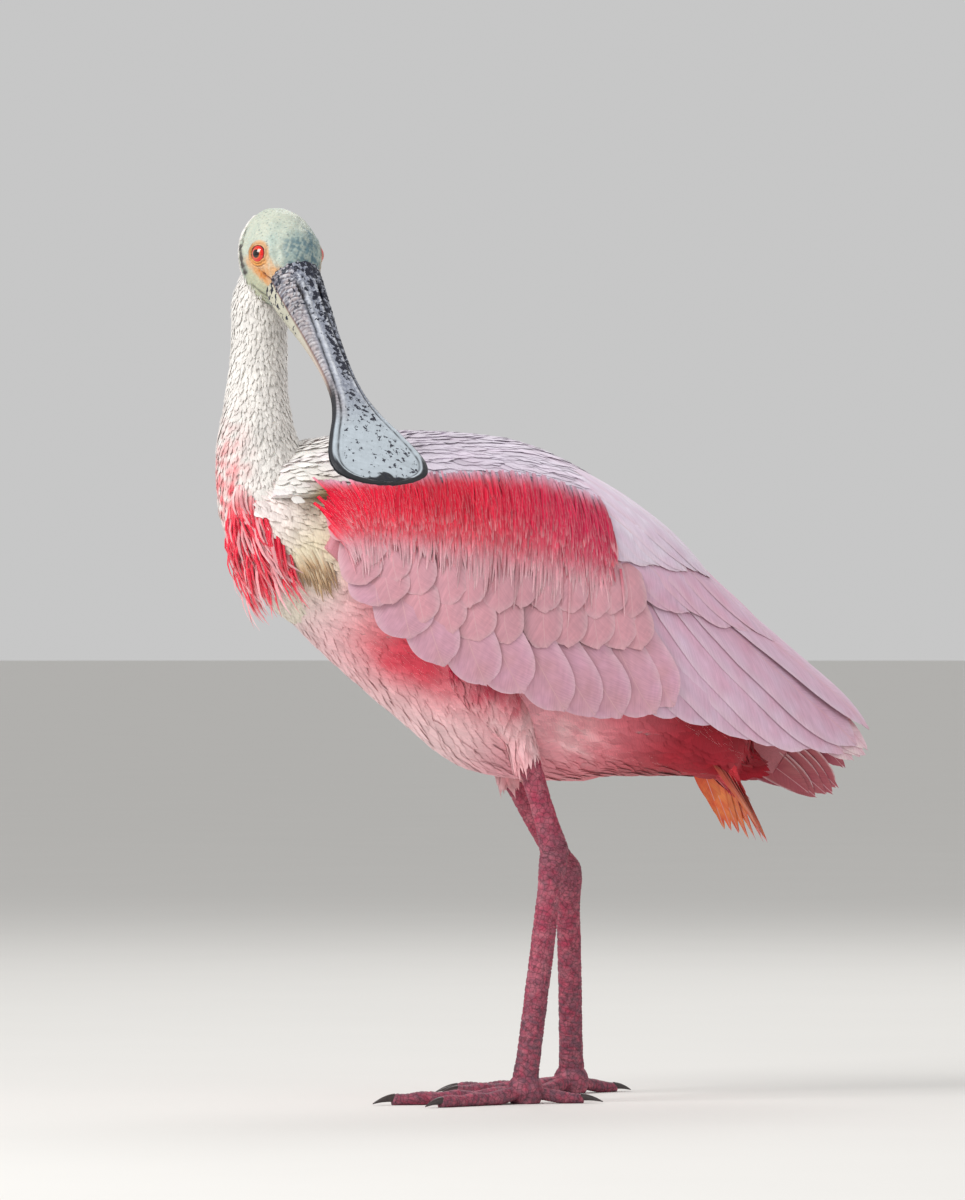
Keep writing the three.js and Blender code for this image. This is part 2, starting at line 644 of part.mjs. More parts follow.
// The web between two front toes, scalloped along its free edge.
const WEB = { thick: 1.6, height: 2.6, inset: 1.5, dip: 0.62 };
function web(leg, turnA, turnB) {
  const [a, b] = [turnA, turnB].map((turn) => toeFrame(leg, turn));
  const reach = TOE_SPLIT - WEB.inset;
  const flat = (v, d) => new THREE.Vector2(a.origin.x + v.x * d, a.origin.y + v.y * d);
  const middle = a.along.clone().add(b.along).normalize();
  const shape = new THREE.Shape();
  const [start, left, right] = [flat(middle, 1), flat(a.along, reach), flat(b.along, reach)];
  const dip = flat(middle, reach * WEB.dip);
  shape.moveTo(start.x, start.y);
  shape.lineTo(left.x, left.y);
  shape.quadraticCurveTo(dip.x, dip.y, right.x, right.y);
  shape.closePath();
  const sheet = new THREE.ExtrudeGeometry(shape, { depth: WEB.thick, bevelEnabled: false, curveSegments: 3 });
  return solidOf(sheet.translate(0, 0, WEB.height));
}
const SOLE = { height: 5, radii: [9, 8, 6.6] }; // a ball under the foot, cut flat at the floor
function foot(leg) {
  const pad = ball(vec(leg.foot[0], leg.foot[1], SOLE.height), SOLE.radii, 8, 4).trimByPlane([0, 0, 1], 0);
  const bases = TOES.map((toe) => {
    const { along, origin } = toeFrame(leg, toe[1]);
    return toeTube(leg, toe).trimByPlane(along.clone().negate().toArray(), -(along.dot(origin) + TOE_SPLIT));
  });
  const [inner, centre, outer] = TOES.map((toe) => toe[1]);
  return join([footBall(leg), pad, ...bases, web(leg, inner, centre), web(leg, centre, outer)]);
}
function toe(leg, row) {
  const { along, origin } = toeFrame(leg, row[1]);
  return toeTube(leg, row).trimByPlane(along.toArray(), along.dot(origin) + TOE_SPLIT + GAP);
}

// Finishes, as three.js materials.
const finish = (color, roughness) => new THREE.MeshStandardMaterial({ color, roughness, metalness: 0 });
const FINISHES = {
  pink_plumage: finish("#e7a9bd", 0.85),
  white_plumage: finish("#e9e2df", 0.9),
  rump_plumage: finish("#b5323c", 0.85),
  head_skin: finish("#b9c2b0", 0.6),
  bill_horn: finish("#a9b3b8", 0.45),
  leg_skin: finish("#a8485f", 0.6),
  claw_horn: finish("#3b3032", 0.4),
  eye: finish("#b3150f", 0.1),
};

const bird = new THREE.Group();
function addNode(name, solid, slot) {
  const { numProp, vertProperties, triVerts } = solid.getMesh();
  const places = Array.from({ length: vertProperties.length / numProp }, (_, i) =>
    vec(...vertProperties.subarray(i * numProp, i * numProp + 3)),
  );
  const geometry = new THREE.BufferGeometry().setFromPoints(places).setIndex([...triVerts]);
  const mesh = new THREE.Mesh(geometry, FINISHES[slot]);
  mesh.name = name;
  bird.add(mesh);
}

const trunkRoom = torso(GAP);
const skullRoom = skull(3 * GAP);
const thighRoom = Object.values(LEGS).map((leg) => thigh(leg, GAP));
const tailNode = tail([trunkRoom]);

addNode("torso", torso(0), "white_plumage");
const neck = largest(join([neckTube(), ...plume()]).subtract(trunkRoom).subtract(skullRoom));
addNode("neck", neck, "white_plumage");
addNode("head", head(), "head_skin");
const upperBill = billHalf(true).subtract(skullRoom).subtract(nostril(-1)).subtract(nostril(1));
addNode("bill_upper", largest(upperBill), "bill_horn");
addNode("bill_lower", largest(billHalf(false).subtract(skullRoom)), "bill_horn");
addNode("tail", tailNode, "rump_plumage");
for (const [name, leg] of Object.entries(LEGS)) {
  addNode(`eye_${name}`, eyeball(leg.side), "eye");
  addNode(`wing_${name}`, wing(leg.side, [trunkRoom, ...thighRoom]), "pink_plumage");
  addNode(`thigh_${name}`, largest(thigh(leg, 0).subtract(trunkRoom)), "pink_plumage");
  addNode(`shin_${name}`, shin(leg, trunkRoom), "leg_skin");
  addNode(`tarsus_${name}`, tarsus(leg), "leg_skin");
  addNode(`foot_${name}`, foot(leg), "leg_skin");
  for (const row of TOES) {
    addNode(`toe_${row[0]}_${name}`, toe(leg, row), "leg_skin");
    addNode(`claw_${row[0]}_${name}`, claw(leg, row), "claw_horn");
  }
}

// The middle of the whole bird's box stands over the origin.
const middle = new THREE.Box3().setFromObject(bird).getCenter(vec(0, 0, 0));
bird.position.set(-middle.x, -middle.y, 0);

export default bird;
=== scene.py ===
# A roseate spoonbill, life size, as a still museum model: the solids dressed with skin, horn and feathers.
# Sizes are in millimetres in the bird's own frame: it faces -X, its left side is -Y, and the floor is Z = 0.
import bpy
import numpy as np
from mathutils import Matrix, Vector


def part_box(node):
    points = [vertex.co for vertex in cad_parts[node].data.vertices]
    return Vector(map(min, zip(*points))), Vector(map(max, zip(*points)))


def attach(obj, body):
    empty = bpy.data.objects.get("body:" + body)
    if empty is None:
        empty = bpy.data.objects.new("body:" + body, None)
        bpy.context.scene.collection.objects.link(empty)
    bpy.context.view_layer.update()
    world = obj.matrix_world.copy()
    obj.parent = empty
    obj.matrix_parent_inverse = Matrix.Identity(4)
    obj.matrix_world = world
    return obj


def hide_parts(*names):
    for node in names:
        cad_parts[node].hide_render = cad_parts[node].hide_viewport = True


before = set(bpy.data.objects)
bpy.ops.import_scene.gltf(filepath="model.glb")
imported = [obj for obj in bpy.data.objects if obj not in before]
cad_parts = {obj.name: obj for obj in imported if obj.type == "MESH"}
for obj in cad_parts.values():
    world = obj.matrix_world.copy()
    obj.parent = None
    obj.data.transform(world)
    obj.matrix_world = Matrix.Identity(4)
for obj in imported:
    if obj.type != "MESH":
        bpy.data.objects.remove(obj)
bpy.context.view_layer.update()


# The studio: a plain matt floor, a large soft light from the bird's front left as in the photograph,
# a weaker one from the other side and one from behind, in a pale room.
def linear(hex_colour):
    srgb = np.array([int(hex_colour[i:i + 2], 16) for i in (1, 3, 5)]) / 255
    return np.where(srgb <= 0.04045, srgb / 12.92, ((srgb + 0.055) / 1.055) ** 2.4)


def add(tree, kind, links=None, **settings):
    made = tree.nodes.new(kind)
    for name, value in settings.items():
        setattr(made, name, value)
    for socket, value in (links or {}).items():
        if isinstance(value, bpy.types.NodeSocket):
            tree.links.new(value, made.inputs[socket])
        else:
            made.inputs[socket].default_value = value
    return made


def noise(tree, place, size, **sockets):
    """Noise over the object's own coordinates, with lumps of about this size in metres."""
    return add(tree, "ShaderNodeTexNoise", {"Vector": place.outputs["Object"], "Scale": 1 / size, **sockets})


def bumped(tree, shader, height, strength, depth):
    relief = add(tree, "ShaderNodeBump", {"Height": height, "Strength": strength, "Distance": depth})
    tree.links.new(relief.outputs["Normal"], shader.inputs["Normal"])


def new_material(name, **sockets):
    material = bpy.data.materials.new(name)
    material.use_nodes = True
    tree = material.node_tree
    shader = tree.nodes["Principled BSDF"]
    for socket, value in sockets.items():
        shader.inputs[socket.replace("_", " ")].default_value = value
    return material, tree, shader


FLOOR_RADIUS = 40.0
FLOOR_COLOUR = linear("#e2e0dc")
ROOM_COLOUR = linear("#e6e6e6")
ROOM_STRENGTH = 0.72

# Painted board: an even pale grey with the faint mottling of a rolled coat.
floor_paint, tree, shader = new_material("matt floor paint", Roughness=0.9)
place = add(tree, "ShaderNodeTexCoord")
mottle = add(tree, "ShaderNodeTexNoise", {"Vector": place.outputs["Object"], "Scale": 6.0})
tone = add(tree, "ShaderNodeValToRGB", {"Fac": mottle.outputs["Fac"]})
for stop, shade in zip(tone.color_ramp.elements, (0.97, 1.0)):
    stop.color = (*FLOOR_COLOUR * shade, 1)
tree.links.new(tone.outputs["Color"], shader.inputs["Base Color"])

ring = np.arange(64) * 2 * np.pi / 64
floor_mesh = bpy.data.meshes.new("floor")
rim = [(FLOOR_RADIUS * np.cos(a), FLOOR_RADIUS * np.sin(a), 0) for a in ring]
floor_mesh.from_pydata(rim, [], [tuple(range(len(rim)))])
floor = bpy.data.objects.new("floor", floor_mesh)
bpy.context.scene.collection.objects.link(floor)
floor_mesh.materials.append(floor_paint)

room = bpy.data.worlds.new("pale room")
room.use_nodes = True
room.node_tree.nodes["Background"].inputs["Color"].default_value = (*ROOM_COLOUR, 1)
room.node_tree.nodes["Background"].inputs["Strength"].default_value = ROOM_STRENGTH
bpy.context.scene.world = room
bpy.context.scene.view_settings.view_transform = "Standard"

# Each row: name, azimuth and elevation in degrees, distance and size in metres, watts.
LIGHTS = [
    ("key", -70, 36, 2.4, 1.1, 40),
    ("fill", 30, 20, 2.6, 1.6, 9),
    ("back", 150, 42, 2.6, 1.4, 18),
]
for name, azimuth, elevation, distance, size, watts in LIGHTS:
    lamp = bpy.data.lights.new(name, "AREA")
    lamp.size, lamp.energy = size, watts
    a, e = np.radians(azimuth), np.radians(elevation)
    away = np.array([np.sin(a) * np.cos(e), -np.cos(a) * np.cos(e), np.sin(e)])
    holder = bpy.data.objects.new(name, lamp)
    holder.location = away * distance + np.array([0, 0, 0.27])
    holder.rotation_mode = "QUATERNION"
    holder.rotation_quaternion = Vector(-away).to_track_quat("-Z", "Y")
    bpy.context.scene.collection.objects.link(holder)


# The whole bird's placing: its own frame is moved so that the middle of its box stands over the origin.
# The left eye's solid, a ball, shows by how much.
def unit(v):
    return v / np.linalg.norm(v, axis=-1, keepdims=True)


def spread(value):
    return np.asarray(value, float)[..., None]


HEAD_AT = np.array([-155.9, -14, 455])
HEAD_ALONG = unit(np.array([0.129, -0.683, -0.719]))
HEAD_RIGHT = unit(np.array([-0.983, -0.186, 0]))
HEAD_UP = unit(np.cross(HEAD_RIGHT, HEAD_ALONG))
EYE_FORWARD, EYE_UP, EYE_ACROSS, EYE_RADIUS = 6.6, 6.2, 13.6, 6.8


def head_point(forward, right, up):
    return HEAD_AT + spread(forward) * HEAD_ALONG + spread(right) * HEAD_RIGHT + spread(up) * HEAD_UP


eye_low, eye_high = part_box("eye_left")
SHIFT = (np.array(eye_low) + np.array(eye_high)) * 500 - head_point(EYE_FORWARD, -EYE_ACROSS, EYE_UP)

# The camera: level, on the bird's left and a little ahead of it, with a long lens.
VIEW_AZIMUTH = np.radians(-18)
CAMERA_DISTANCE = 5.5
FRAME_HEIGHT = 0.648
SENSOR = 36
TARGET_RIGHT, TARGET_UP = -36.45, 270
image_right = np.array([np.cos(VIEW_AZIMUTH), np.sin(VIEW_AZIMUTH), 0])
toward_camera = np.array([np.sin(VIEW_AZIMUTH), -np.cos(VIEW_AZIMUTH), 0])
target = (image_right * TARGET_RIGHT + np.array([0, 0, TARGET_UP]) + SHIFT) / 1000
camera = bpy.data.objects.new("camera", bpy.data.cameras.new("camera"))
camera.location = target + toward_camera * CAMERA_DISTANCE
camera.rotation_mode = "QUATERNION"
camera.rotation_quaternion = Vector(-toward_camera).to_track_quat("-Z", "Y")
camera.data.sensor_width = SENSOR
camera.data.lens = SENSOR * CAMERA_DISTANCE / FRAME_HEIGHT
bpy.context.scene.collection.objects.link(camera)
bpy.context.scene.camera = camera


# The skin: one hide over trunk, neck, thighs and head, bare only on the head. Elsewhere the coat hides it.
# It lies inside the solids by the depth of the coat, and carries the coat's own colours.
def profile(rows):
    rows = np.array(rows, float)
    x, y = rows[:, 0], rows[:, 1:]
    slope = np.empty_like(y)
    slope[1:-1] = (y[2:] - y[:-2]) / spread(x[2:] - x[:-2])
    slope[0] = (y[1] - y[0]) / (x[1] - x[0])
    slope[-1] = (y[-1] - y[-2]) / (x[-1] - x[-2])

    def read(at):
        at = np.clip(at, x[0], x[-1])
        i = np.clip(np.searchsorted(x, at, side="right") - 1, 0, len(x) - 2)
        span = spread(x[i + 1] - x[i])
        t = spread(at - x[i]) / span
        ease = t * t * (3 - 2 * t)
        bend = (t**3 - 2 * t * t + t) * slope[i] + (t**3 - t * t) * slope[i + 1]
        return np.moveaxis(y[i] + (y[i + 1] - y[i]) * ease + span * bend, -1, 0)

    return read


def step(x, low, high):
    t = np.clip((x - low) / (high - low), 0, 1)
    return t * t * (3 - 2 * t)


def bump(x, middle, width):
    return np.exp(-(((x - middle) / width) ** 2))


def tint(a, b, share):
    return a + (b - a) * spread(share)


def ripple(p, size, seed=0):
    """Smooth noise from -1 to 1 over points, with lumps of about this size in millimetres."""
    draw = np.random.default_rng(seed)
    total = 0
    for _ in range(7):
        way = unit(draw.normal(size=3)) * 2 * np.pi / (size * draw.uniform(1.2, 3.0))
        turn = unit(draw.normal(size=3)) * 2 * np.pi / (size * draw.uniform(1.2, 3.0))
        total = total + np.sin(p @ way + 2.2 * np.sin(p @ turn) + draw.uniform(0, 6.28))
    return total / 4


BODY_PITCH = np.radians(25.8)
CHEST = np.array([-163.5, 0, 313])
BODY_ALONG = np.array([np.cos(BODY_PITCH), 0, -np.sin(BODY_PITCH)])
BODY_RISE = np.array([np.sin(BODY_PITCH), 0, np.cos(BODY_PITCH)])
SIDEWAYS = np.array([0, 1, 0])
UPWARD = np.array([0, 0, 1])


def body_point(s, y, h):
    return CHEST + spread(s) * BODY_ALONG + spread(y) * SIDEWAYS + spread(h) * BODY_RISE


def body_place(p):
    from_chest = p - CHEST
    return from_chest @ BODY_ALONG, from_chest @ BODY_RISE


# Distance down the trunk's axis, rise to the back, depth to the belly, half width.
TRUNK = profile([
    [-24, 6, 3, 5], [-18, 22, 9, 17], [0, 45, 22, 33], [20, 59, 32, 42], [40, 69, 41, 49],
    [60, 79, 48, 54], [112, 97, 61, 60], [160, 97, 70, 60], [206, 86, 56, 52], [240, 70, 37, 42],
    [271, 48, 22, 30], [296, 24, 10, 16], [302, 8, 2, 5],
])
BELLY_KEEL = 0.4


def trunk(s, angle, lift=0.0):
    rise, depth, half = TRUNK(s)
    pinch = 1 + BELLY_KEEL * np.minimum(0, np.cos(angle))
    height = np.where(np.cos(angle) > 0, rise, depth) + lift
    return body_point(s, (half * pinch + lift) * np.sin(angle), height * np.cos(angle))


def limb(stations):
    """A surface round a smooth line through [x, y, z, radius fore and aft, radius across] stations."""
    shares = np.linspace(0, 1, len(stations))
    read = profile([[u, *row] for u, row in zip(shares, stations)])

    def point(u, angle, lift=0.0):
        u, angle, lift = np.broadcast_arrays(u, angle, lift)
        at = read(u)
        along = unit(np.moveaxis(read(u + 0.01)[:3] - read(u - 0.01)[:3], 0, -1))
        fore = unit(np.array([1.0, 0, 0]) - along * along[..., :1])
        across = np.cross(along, fore)
        middle = np.moveaxis(at[:3], 0, -1)
        out = fore * spread((at[3] + lift) * np.cos(angle)) + across * spread((at[4] + lift) * np.sin(angle))
        return middle + out

    return point


neck = limb([
    [-116, 0, 262, 18, 18], [-134, 0, 282, 27, 25], [-149, 0, 303, 29, 28], [-159, 0, 325, 27, 26.5],
    [-164.5, 0, 350, 22.5, 22.5], [-165, 1, 377, 17, 17.5], [-163, 3, 405, 14.8, 15],
    [-162.3, 4, 431, 14.4, 14.6], [-158.5, 0, 453, 8.0, 9.5],
])
THIGHS = {
    "left": limb([[-62, -26, 268, 32, 20], [-46, -33, 232, 23, 17], [-34, -34, 208, 12.5, 11.5],
                  [-27.5, -33, 195, 7.4, 7.2]]),
    "right": limb([[-56, 26, 262, 32, 20], [-40, 32, 226, 23, 17], [-22, 33, 196, 13, 12],
                   [-12, 33, 178, 7.4, 7.2]]),
}

# Forward, crown, jaw, half width of the skull and bare face.
SKULL = profile([
    [-27, 3, 3, 3], [-22, 12.5, 12, 12], [-12, 18.8, 19, 18], [0, 20.8, 23, 20.4],
    [8, 20.4, 24.4, 19.6], [14, 18.4, 23.6, 17.4], [20, 14.6, 20, 14.8], [24, 9, 13, 11], [26, 3, 5, 4],
])
JAW_FULLNESS = 0.25
# The feathers of the neck end along this line of [forward, up] on the head.
FEATHER_LINE = profile([
    [-27, 13], [-21, 7], [-15, -1], [-10, -6], [-4, -9], [2, -10.6], [10, -11.6], [16, -11], [26, -10],
])


def skull(f, angle, lift=0.0):
    crown, jaw, half = SKULL(f)
    height = np.where(np.cos(angle) > 0, crown, jaw) + lift
    cheek = 1 - JAW_FULLNESS * np.minimum(0, np.cos(angle))
    return head_point(f, (half * cheek + lift) * np.sin(angle), height * np.cos(angle))


def head_place(p):
    from_head = p - HEAD_AT
    return from_head @ HEAD_ALONG, from_head @ HEAD_RIGHT, from_head @ HEAD_UP


LID_RADIUS = 4.3


def face_relief(p):
    """How far the bare face stands out from the skull: lids, folds, ear and corner of the mouth."""
    f, r, u = head_place(p)
    side = step(np.abs(r), 9, 13)
    from_eye = np.hypot(f - EYE_FORWARD - 0.3, u - EYE_UP)
    bearing = np.arctan2(u - EYE_UP, f - EYE_FORWARD)
    low = step(-np.sin(bearing + 0.25), -0.5, 0.7)
    lid = 0.62 * bump(from_eye, LID_RADIUS + 0.45, 0.5)
    hollow = -3.0 * step(-from_eye, -LID_RADIUS + 0.05, -LID_RADIUS + 0.7)
    folds = 0.55 * bump(from_eye, 6.1, 0.45) * (0.15 + low) + 0.42 * bump(from_eye, 7.6, 0.5) * low
    creases = -0.34 * bump(from_eye, 5.4, 0.28) - 0.4 * bump(from_eye, 6.9, 0.28) * (0.15 + low)
    brow = 0.45 * bump(from_eye, 7.5, 2.2) * step(np.sin(bearing - 0.2), 0.1, 0.9)
    lore = step(f, 8, 13) * step(-f, -24, -18) * step(np.abs(r), 7, 11)
    wrinkles = 0.3 * lore * np.sin(1.9 * u + 0.9 * f + 1.3 * ripple(p, 5, 3))
    from_ear = np.hypot(f + 9, (u + 2.5) * 0.75)
    ear = side * (0.55 * bump(from_ear, 2.4, 0.8) - 2.0 * bump(from_ear, 0, 1.35))
    from_gape = np.hypot((u - 0.9 - 0.12 * (f - 20)) / 0.55, np.maximum(0, 15.5 - f) / 1.2)
    gape = -1.5 * np.exp(-from_gape**2) * step(np.abs(r), 8, 11)
    gape_lip = 0.5 * bump(u, -0.9, 0.8) * step(f, 12, 17) * side
    leather = 0.14 * ripple(p, 2.2, 5) + 0.12 * ripple(p, 4.5, 6)
    crown_pads = 0.35 * ripple(p, 9, 7) * step(u, 2, 12)
    eye_part = (lid + hollow + folds + creases + brow) * side
    return eye_part + wrinkles + ear + gape + gape_lip + leather + crown_pads


def solid(points, faces):
    """Turns the faces of a closed mesh, or of many like ones, so that they point out."""
    a, b, c = points[faces[:, 0]], points[faces[:, 1]], points[faces[:, 2]]
    volume = np.einsum("ij,ij->", a - a[0], np.cross(b - a[0], c - a[0]))
    return points, (faces if volume > 0 else faces[:, ::-1])


def tube(point, stations, around):
    """A closed mesh of rings: point(station, angle) gives its surface."""
    angle = np.arange(around) * 2 * np.pi / around
    grid = point(stations[:, None], angle[None, :])
    count = len(stations)
    points = np.concatenate([grid.reshape(-1, 3), grid[[0, -1]].mean(1)])
    i, j = np.meshgrid(np.arange(count - 1), np.arange(around), indexing="ij")
    a, b = i * around + j, i * around + (j + 1) % around
    sides = [np.stack([a, a + around, b], -1), np.stack([b, a + around, b + around], -1)]
    j = np.arange(around)
    after = (j + 1) % around
    first, last = np.full(around, count * around), np.full(around, count * around + 1)
    far = (count - 1) * around
    caps = [np.stack([first, j, after], -1), np.stack([last, far + after, far + j], -1)]
    return solid(points, np.concatenate([part.reshape(-1, 3) for part in sides + caps]))


def joined(parts):
    """Several (points, faces, ...) as one, with the faces renumbered."""
    offsets = np.cumsum([0] + [len(part[0]) for part in parts[:-1]])
    faces = np.concatenate([part[1] + offset for part, offset in zip(parts, offsets)])
    rest = [np.concatenate(layer) for layer in list(zip(*parts))[2:]]
    return (np.concatenate([part[0] for part in parts]), faces, *rest)


def eased(start, end, count):
    return start + (end - start) * (1 - np.cos(np.linspace(0.02, 0.98, count) * np.pi)) / 2


SHARP_EDGE = np.radians(75)


def object_of(name, points, faces, finish=None, marking=None, maps=None, values=None):
    mesh = bpy.data.meshes.new(name)
    mesh.vertices.add(len(points))
    mesh.vertices.foreach_set("co", ((points + SHIFT) / 1000).astype(np.float32).ravel())
    mesh.loops.add(faces.size)
    mesh.loops.foreach_set("vertex_index", faces.astype(np.int32).ravel())
    mesh.polygons.add(len(faces))
    mesh.polygons.foreach_set("loop_start", np.arange(0, faces.size, 3, dtype=np.int32))
    mesh.polygons.foreach_set("use_smooth", np.ones(len(faces), bool))
    mesh.update(calc_edges=True)
    mesh.set_sharp_from_angle(angle=SHARP_EDGE)
    for map_name, place in (maps or {}).items():
        layer = mesh.uv_layers.new(name=map_name)
        layer.data.foreach_set("uv", place[faces.ravel()].astype(np.float32).ravel())
    if marking is not None:
        colour = np.concatenate([np.clip(marking, 0, 1), np.ones((len(points), 1))], 1)
        layer = mesh.color_attributes.new("marking", "FLOAT_COLOR", "POINT")
        layer.data.foreach_set("color", colour.astype(np.float32).ravel())
    for value_name, value in (values or {}).items():
        layer = mesh.attributes.new(value_name, "FLOAT", "POINT")
        layer.data.foreach_set("value", value.astype(np.float32))
    made = bpy.data.objects.new(name, mesh)
    bpy.context.scene.collection.objects.link(made)
    if finish:
        mesh.materials.append(finish)
    return made


def fit(piece, slot, *nodes):
    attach(piece, "root")
    if nodes:
        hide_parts(*nodes)


# The colours of the coat by place on the bird. Skin and feathers both take them.
WHITE = linear("#efebe6")
NECK_GREY = linear("#dcd8d3")
CREAM = linear("#e9dcc0")
# The buff of the breast's side, darkened to olive as painted shade.
SHADED_BUFF = linear("#9c8a58")
PALE_PINK = linear("#efc9cc")
PINK = linear("#e59aa6")
SALMON = linear("#e0475a")
RUMP_RED = linear("#a81f30")
THIGH_PINK = linear("#d3596a")
PLUME_RED = linear("#e8203f")


def trunk_colour(p):
    s, h = body_place(p)
    y = np.abs(p[..., 1])
    colour = tint(PINK + 0 * p, PALE_PINK, step(-h, 28, 58) * step(-s, -190, -140))
    salmon = np.exp(-(((s - 92) / 46) ** 2) - ((h + 34 + 0.10 * (s - 92)) / 15) ** 2)
    colour = tint(colour, SALMON, np.clip(salmon * 1.15 + 0.2 * ripple(p, 14, 11) * salmon, 0, 1))
    breast = step(-s, -62, -22) * step(y, -60, -8)
    colour = tint(colour, PALE_PINK, step(-s, -95, -50) * 0.75 * step(-h, 5, 30))
    colour = tint(colour, WHITE, breast * 0.85)
    cream = np.exp(-(((s - 27) / 17) ** 2) - ((h + 6) / 22) ** 2)
    colour = tint(colour, CREAM, np.clip(cream * 1.1, 0, 1))
    # Painted shade: a real buff patch at the side of the breast's root, painted darker olive for the shade it
    # lies in.
    ochre = np.exp(-(((s - 15) / 12) ** 2) - ((h - 24) / 14) ** 2) * step(y, 18, 30)
    colour = tint(colour, SHADED_BUFF, ochre * 0.85)
    rear = step(s, 168, 225)
    colour = tint(colour, SALMON, rear * 0.55)
    colour = tint(colour, RUMP_RED, step(s, 205, 262))
    pale_tuft = np.exp(-(((s - 200) / 22) ** 2) - ((h + 34) / 14) ** 2) * (0.6 + 0.4 * ripple(p, 8, 12))
    colour = tint(colour, PALE_PINK, np.clip(pale_tuft, 0, 1) * 0.8)
    return colour * spread(1 + 0.07 * ripple(p, 7, 13))


def neck_colour(p):
    colour = tint(NECK_GREY + 0 * p, WHITE, 0.5 + 0.5 * ripple(p, 11, 14))
    colour = tint(colour, CREAM, step(-p[..., 2], -350, -300) * 0.6 * step(p[..., 0], -170, -140))
    front = step(-p[..., 0], 168, 184) * bump(p[..., 2], 328, 26) * step(-np.abs(p[..., 1] + 6), -24, -8)
    colour = tint(colour, PLUME_RED, front * np.clip(0.45 + 0.6 * ripple(p, 6, 15), 0, 1))
    return colour * spread(1 + 0.05 * ripple(p, 5, 16))


def thigh_colour(p):
    low = step(-p[..., 2], -228, -196)
    colour = tint(THIGH_PINK + 0 * p, PALE_PINK, low * 0.7 + 0.25 * ripple(p, 9, 17))
    return colour


# Bare head: pale green-white crown, bluer and mottled on its right, ochre round the eye and lore.
CROWN = linear("#c3c8b8")
AQUA = linear("#a9bab2")
SLATE = linear("#557480")
FACE_OCHRE = linear("#d9a878")
DEEP_OCHRE = linear("#c97a2a")
LID_ORANGE = linear("#dc9c54")
BAND = linear("#3f3836")
JAW = linear("#babb9f")
GAPE_BROWN = linear("#6b3a2c")


def face_colour(p):
    f, r, u = head_place(p)
    colour = tint(CROWN + 0 * p, AQUA, np.clip(step(f, -8, 8) * 0.55 + 0.3 * ripple(p, 8, 21), 0, 1))
    blue = np.clip(step(-r, -7, 12) * step(f, -14, 6) * (0.75 + 0.5 * ripple(p, 5, 22)), 0, 1)
    mottle = np.clip(0.5 + 1.2 * ripple(p, 2.6, 23), 0, 1)
    colour = tint(colour, SLATE, blue * (0.45 + 0.5 * mottle) * step(u, 2, 9))
    forehead = step(f, 4, 12) * step(u, 8, 13) * step(-np.abs(r), -13, -6)
    colour = tint(colour, SLATE, forehead * (0.25 + 0.6 * mottle))
    side = step(np.abs(r), 8, 12)
    from_eye = np.hypot(f - EYE_FORWARD, u - EYE_UP)
    under = step(f + 0.5 * (EYE_UP - u), 2.5, 8.5) * step(-u, -11.5, -6) * step(u, -6.5, -3)
    halo = step(-from_eye, -7.6, -5.6)
    patchy = 0.85 + 0.35 * ripple(p, 4, 28)
    side = side * (1 - 0.65 * step(-r, 4, 8))
    colour = tint(colour, FACE_OCHRE, side * np.clip(np.maximum(under * patchy, halo * 0.6), 0, 1))
    deep = side * np.exp(-(((f - 15.5) / 4.5) ** 2) - ((u + 0.5) / 2.6) ** 2)
    colour = tint(colour, DEEP_OCHRE, np.clip(deep * (0.8 + 0.5 * ripple(p, 2.5, 24)), 0, 1))
    colour = tint(colour, JAW, side * step(-u, 2.2, 5) * step(f, 4, 10) * 0.85)
    low = step(EYE_UP - u, -2.5, 2.5)
    colour = tint(colour, LID_ORANGE, side * step(-from_eye, -7.6, -6.4) * (0.45 + 0.55 * low))
    lines = bump(from_eye, 5.4, 0.26) * (0.35 + 0.65 * low) + bump(from_eye, 6.9, 0.26) * low
    colour = tint(colour, GAPE_BROWN, side * 0.6 * lines)
    rim_dark = side * step(-from_eye, -LID_RADIUS - 0.12, -LID_RADIUS + 0.1)
    colour = tint(colour, linear("#3a1510"), rim_dark)
    edge = FEATHER_LINE(f)[0] - u
    band = np.exp(-((edge + 2.4) / 3.0) ** 2) * step(-f, -10, -3) * step(f, -18, -12)
    colour = tint(colour, BAND, np.clip(band * (1.1 + 1.0 * ripple(p, 3, 25)), 0, 1) * 0.95)
    thin = np.exp(-((edge + 0.3) / 0.9) ** 2) * step(f, 10, 14)
    colour = tint(colour, BAND, thin * 0.7)
    slit = side * bump(u, 0.9 + 0.12 * (f - 20), 0.5) * step(f, 14, 16)
    colour = tint(colour, GAPE_BROWN, slit)
    speck = np.clip(ripple(p, 1.6, 26) * 2 - 1.1, 0, 1) * step(u, 4, 12)
    colour = tint(colour, SLATE * 0.6, speck * 0.6)
    return colour * spread(1 + 0.05 * ripple(p, 1.8, 27))


# Living hide: fine pebbled leather, faintly moist, with light passing a little way into it.
bare_skin, tree, shader = new_material("bare living skin", Roughness=0.52)
shader.inputs["Subsurface Weight"].default_value = 0.08
shader.inputs["Subsurface Radius"].default_value = (0.0012, 0.0006, 0.0004)
shader.inputs["Subsurface Scale"].default_value = 1.0
shader.inputs["Specular IOR Level"].default_value = 0.4
marking = add(tree, "ShaderNodeAttribute", attribute_name="marking")
place = add(tree, "ShaderNodeTexCoord")
# Pebbles of about 0.6 mm.
pebbles = add(tree, "ShaderNodeTexVoronoi", {"Vector": place.outputs["Object"], "Scale": 1 / 0.0006})
grain = noise(tree, place, 0.0009, Detail=3.0)
shade = add(tree, "ShaderNodeMapRange", {"Value": grain.outputs["Fac"], "To Min": 0.8, "To Max": 1.16})
coloured = add(tree, "ShaderNodeVectorMath", {0: marking.outputs["Color"], 1: shade.outputs["Result"]},
               operation="MULTIPLY")
tree.links.new(coloured.outputs["Vector"], shader.inputs["Base Color"])
bumped(tree, shader, pebbles.outputs["Distance"], 0.25, 0.0003)

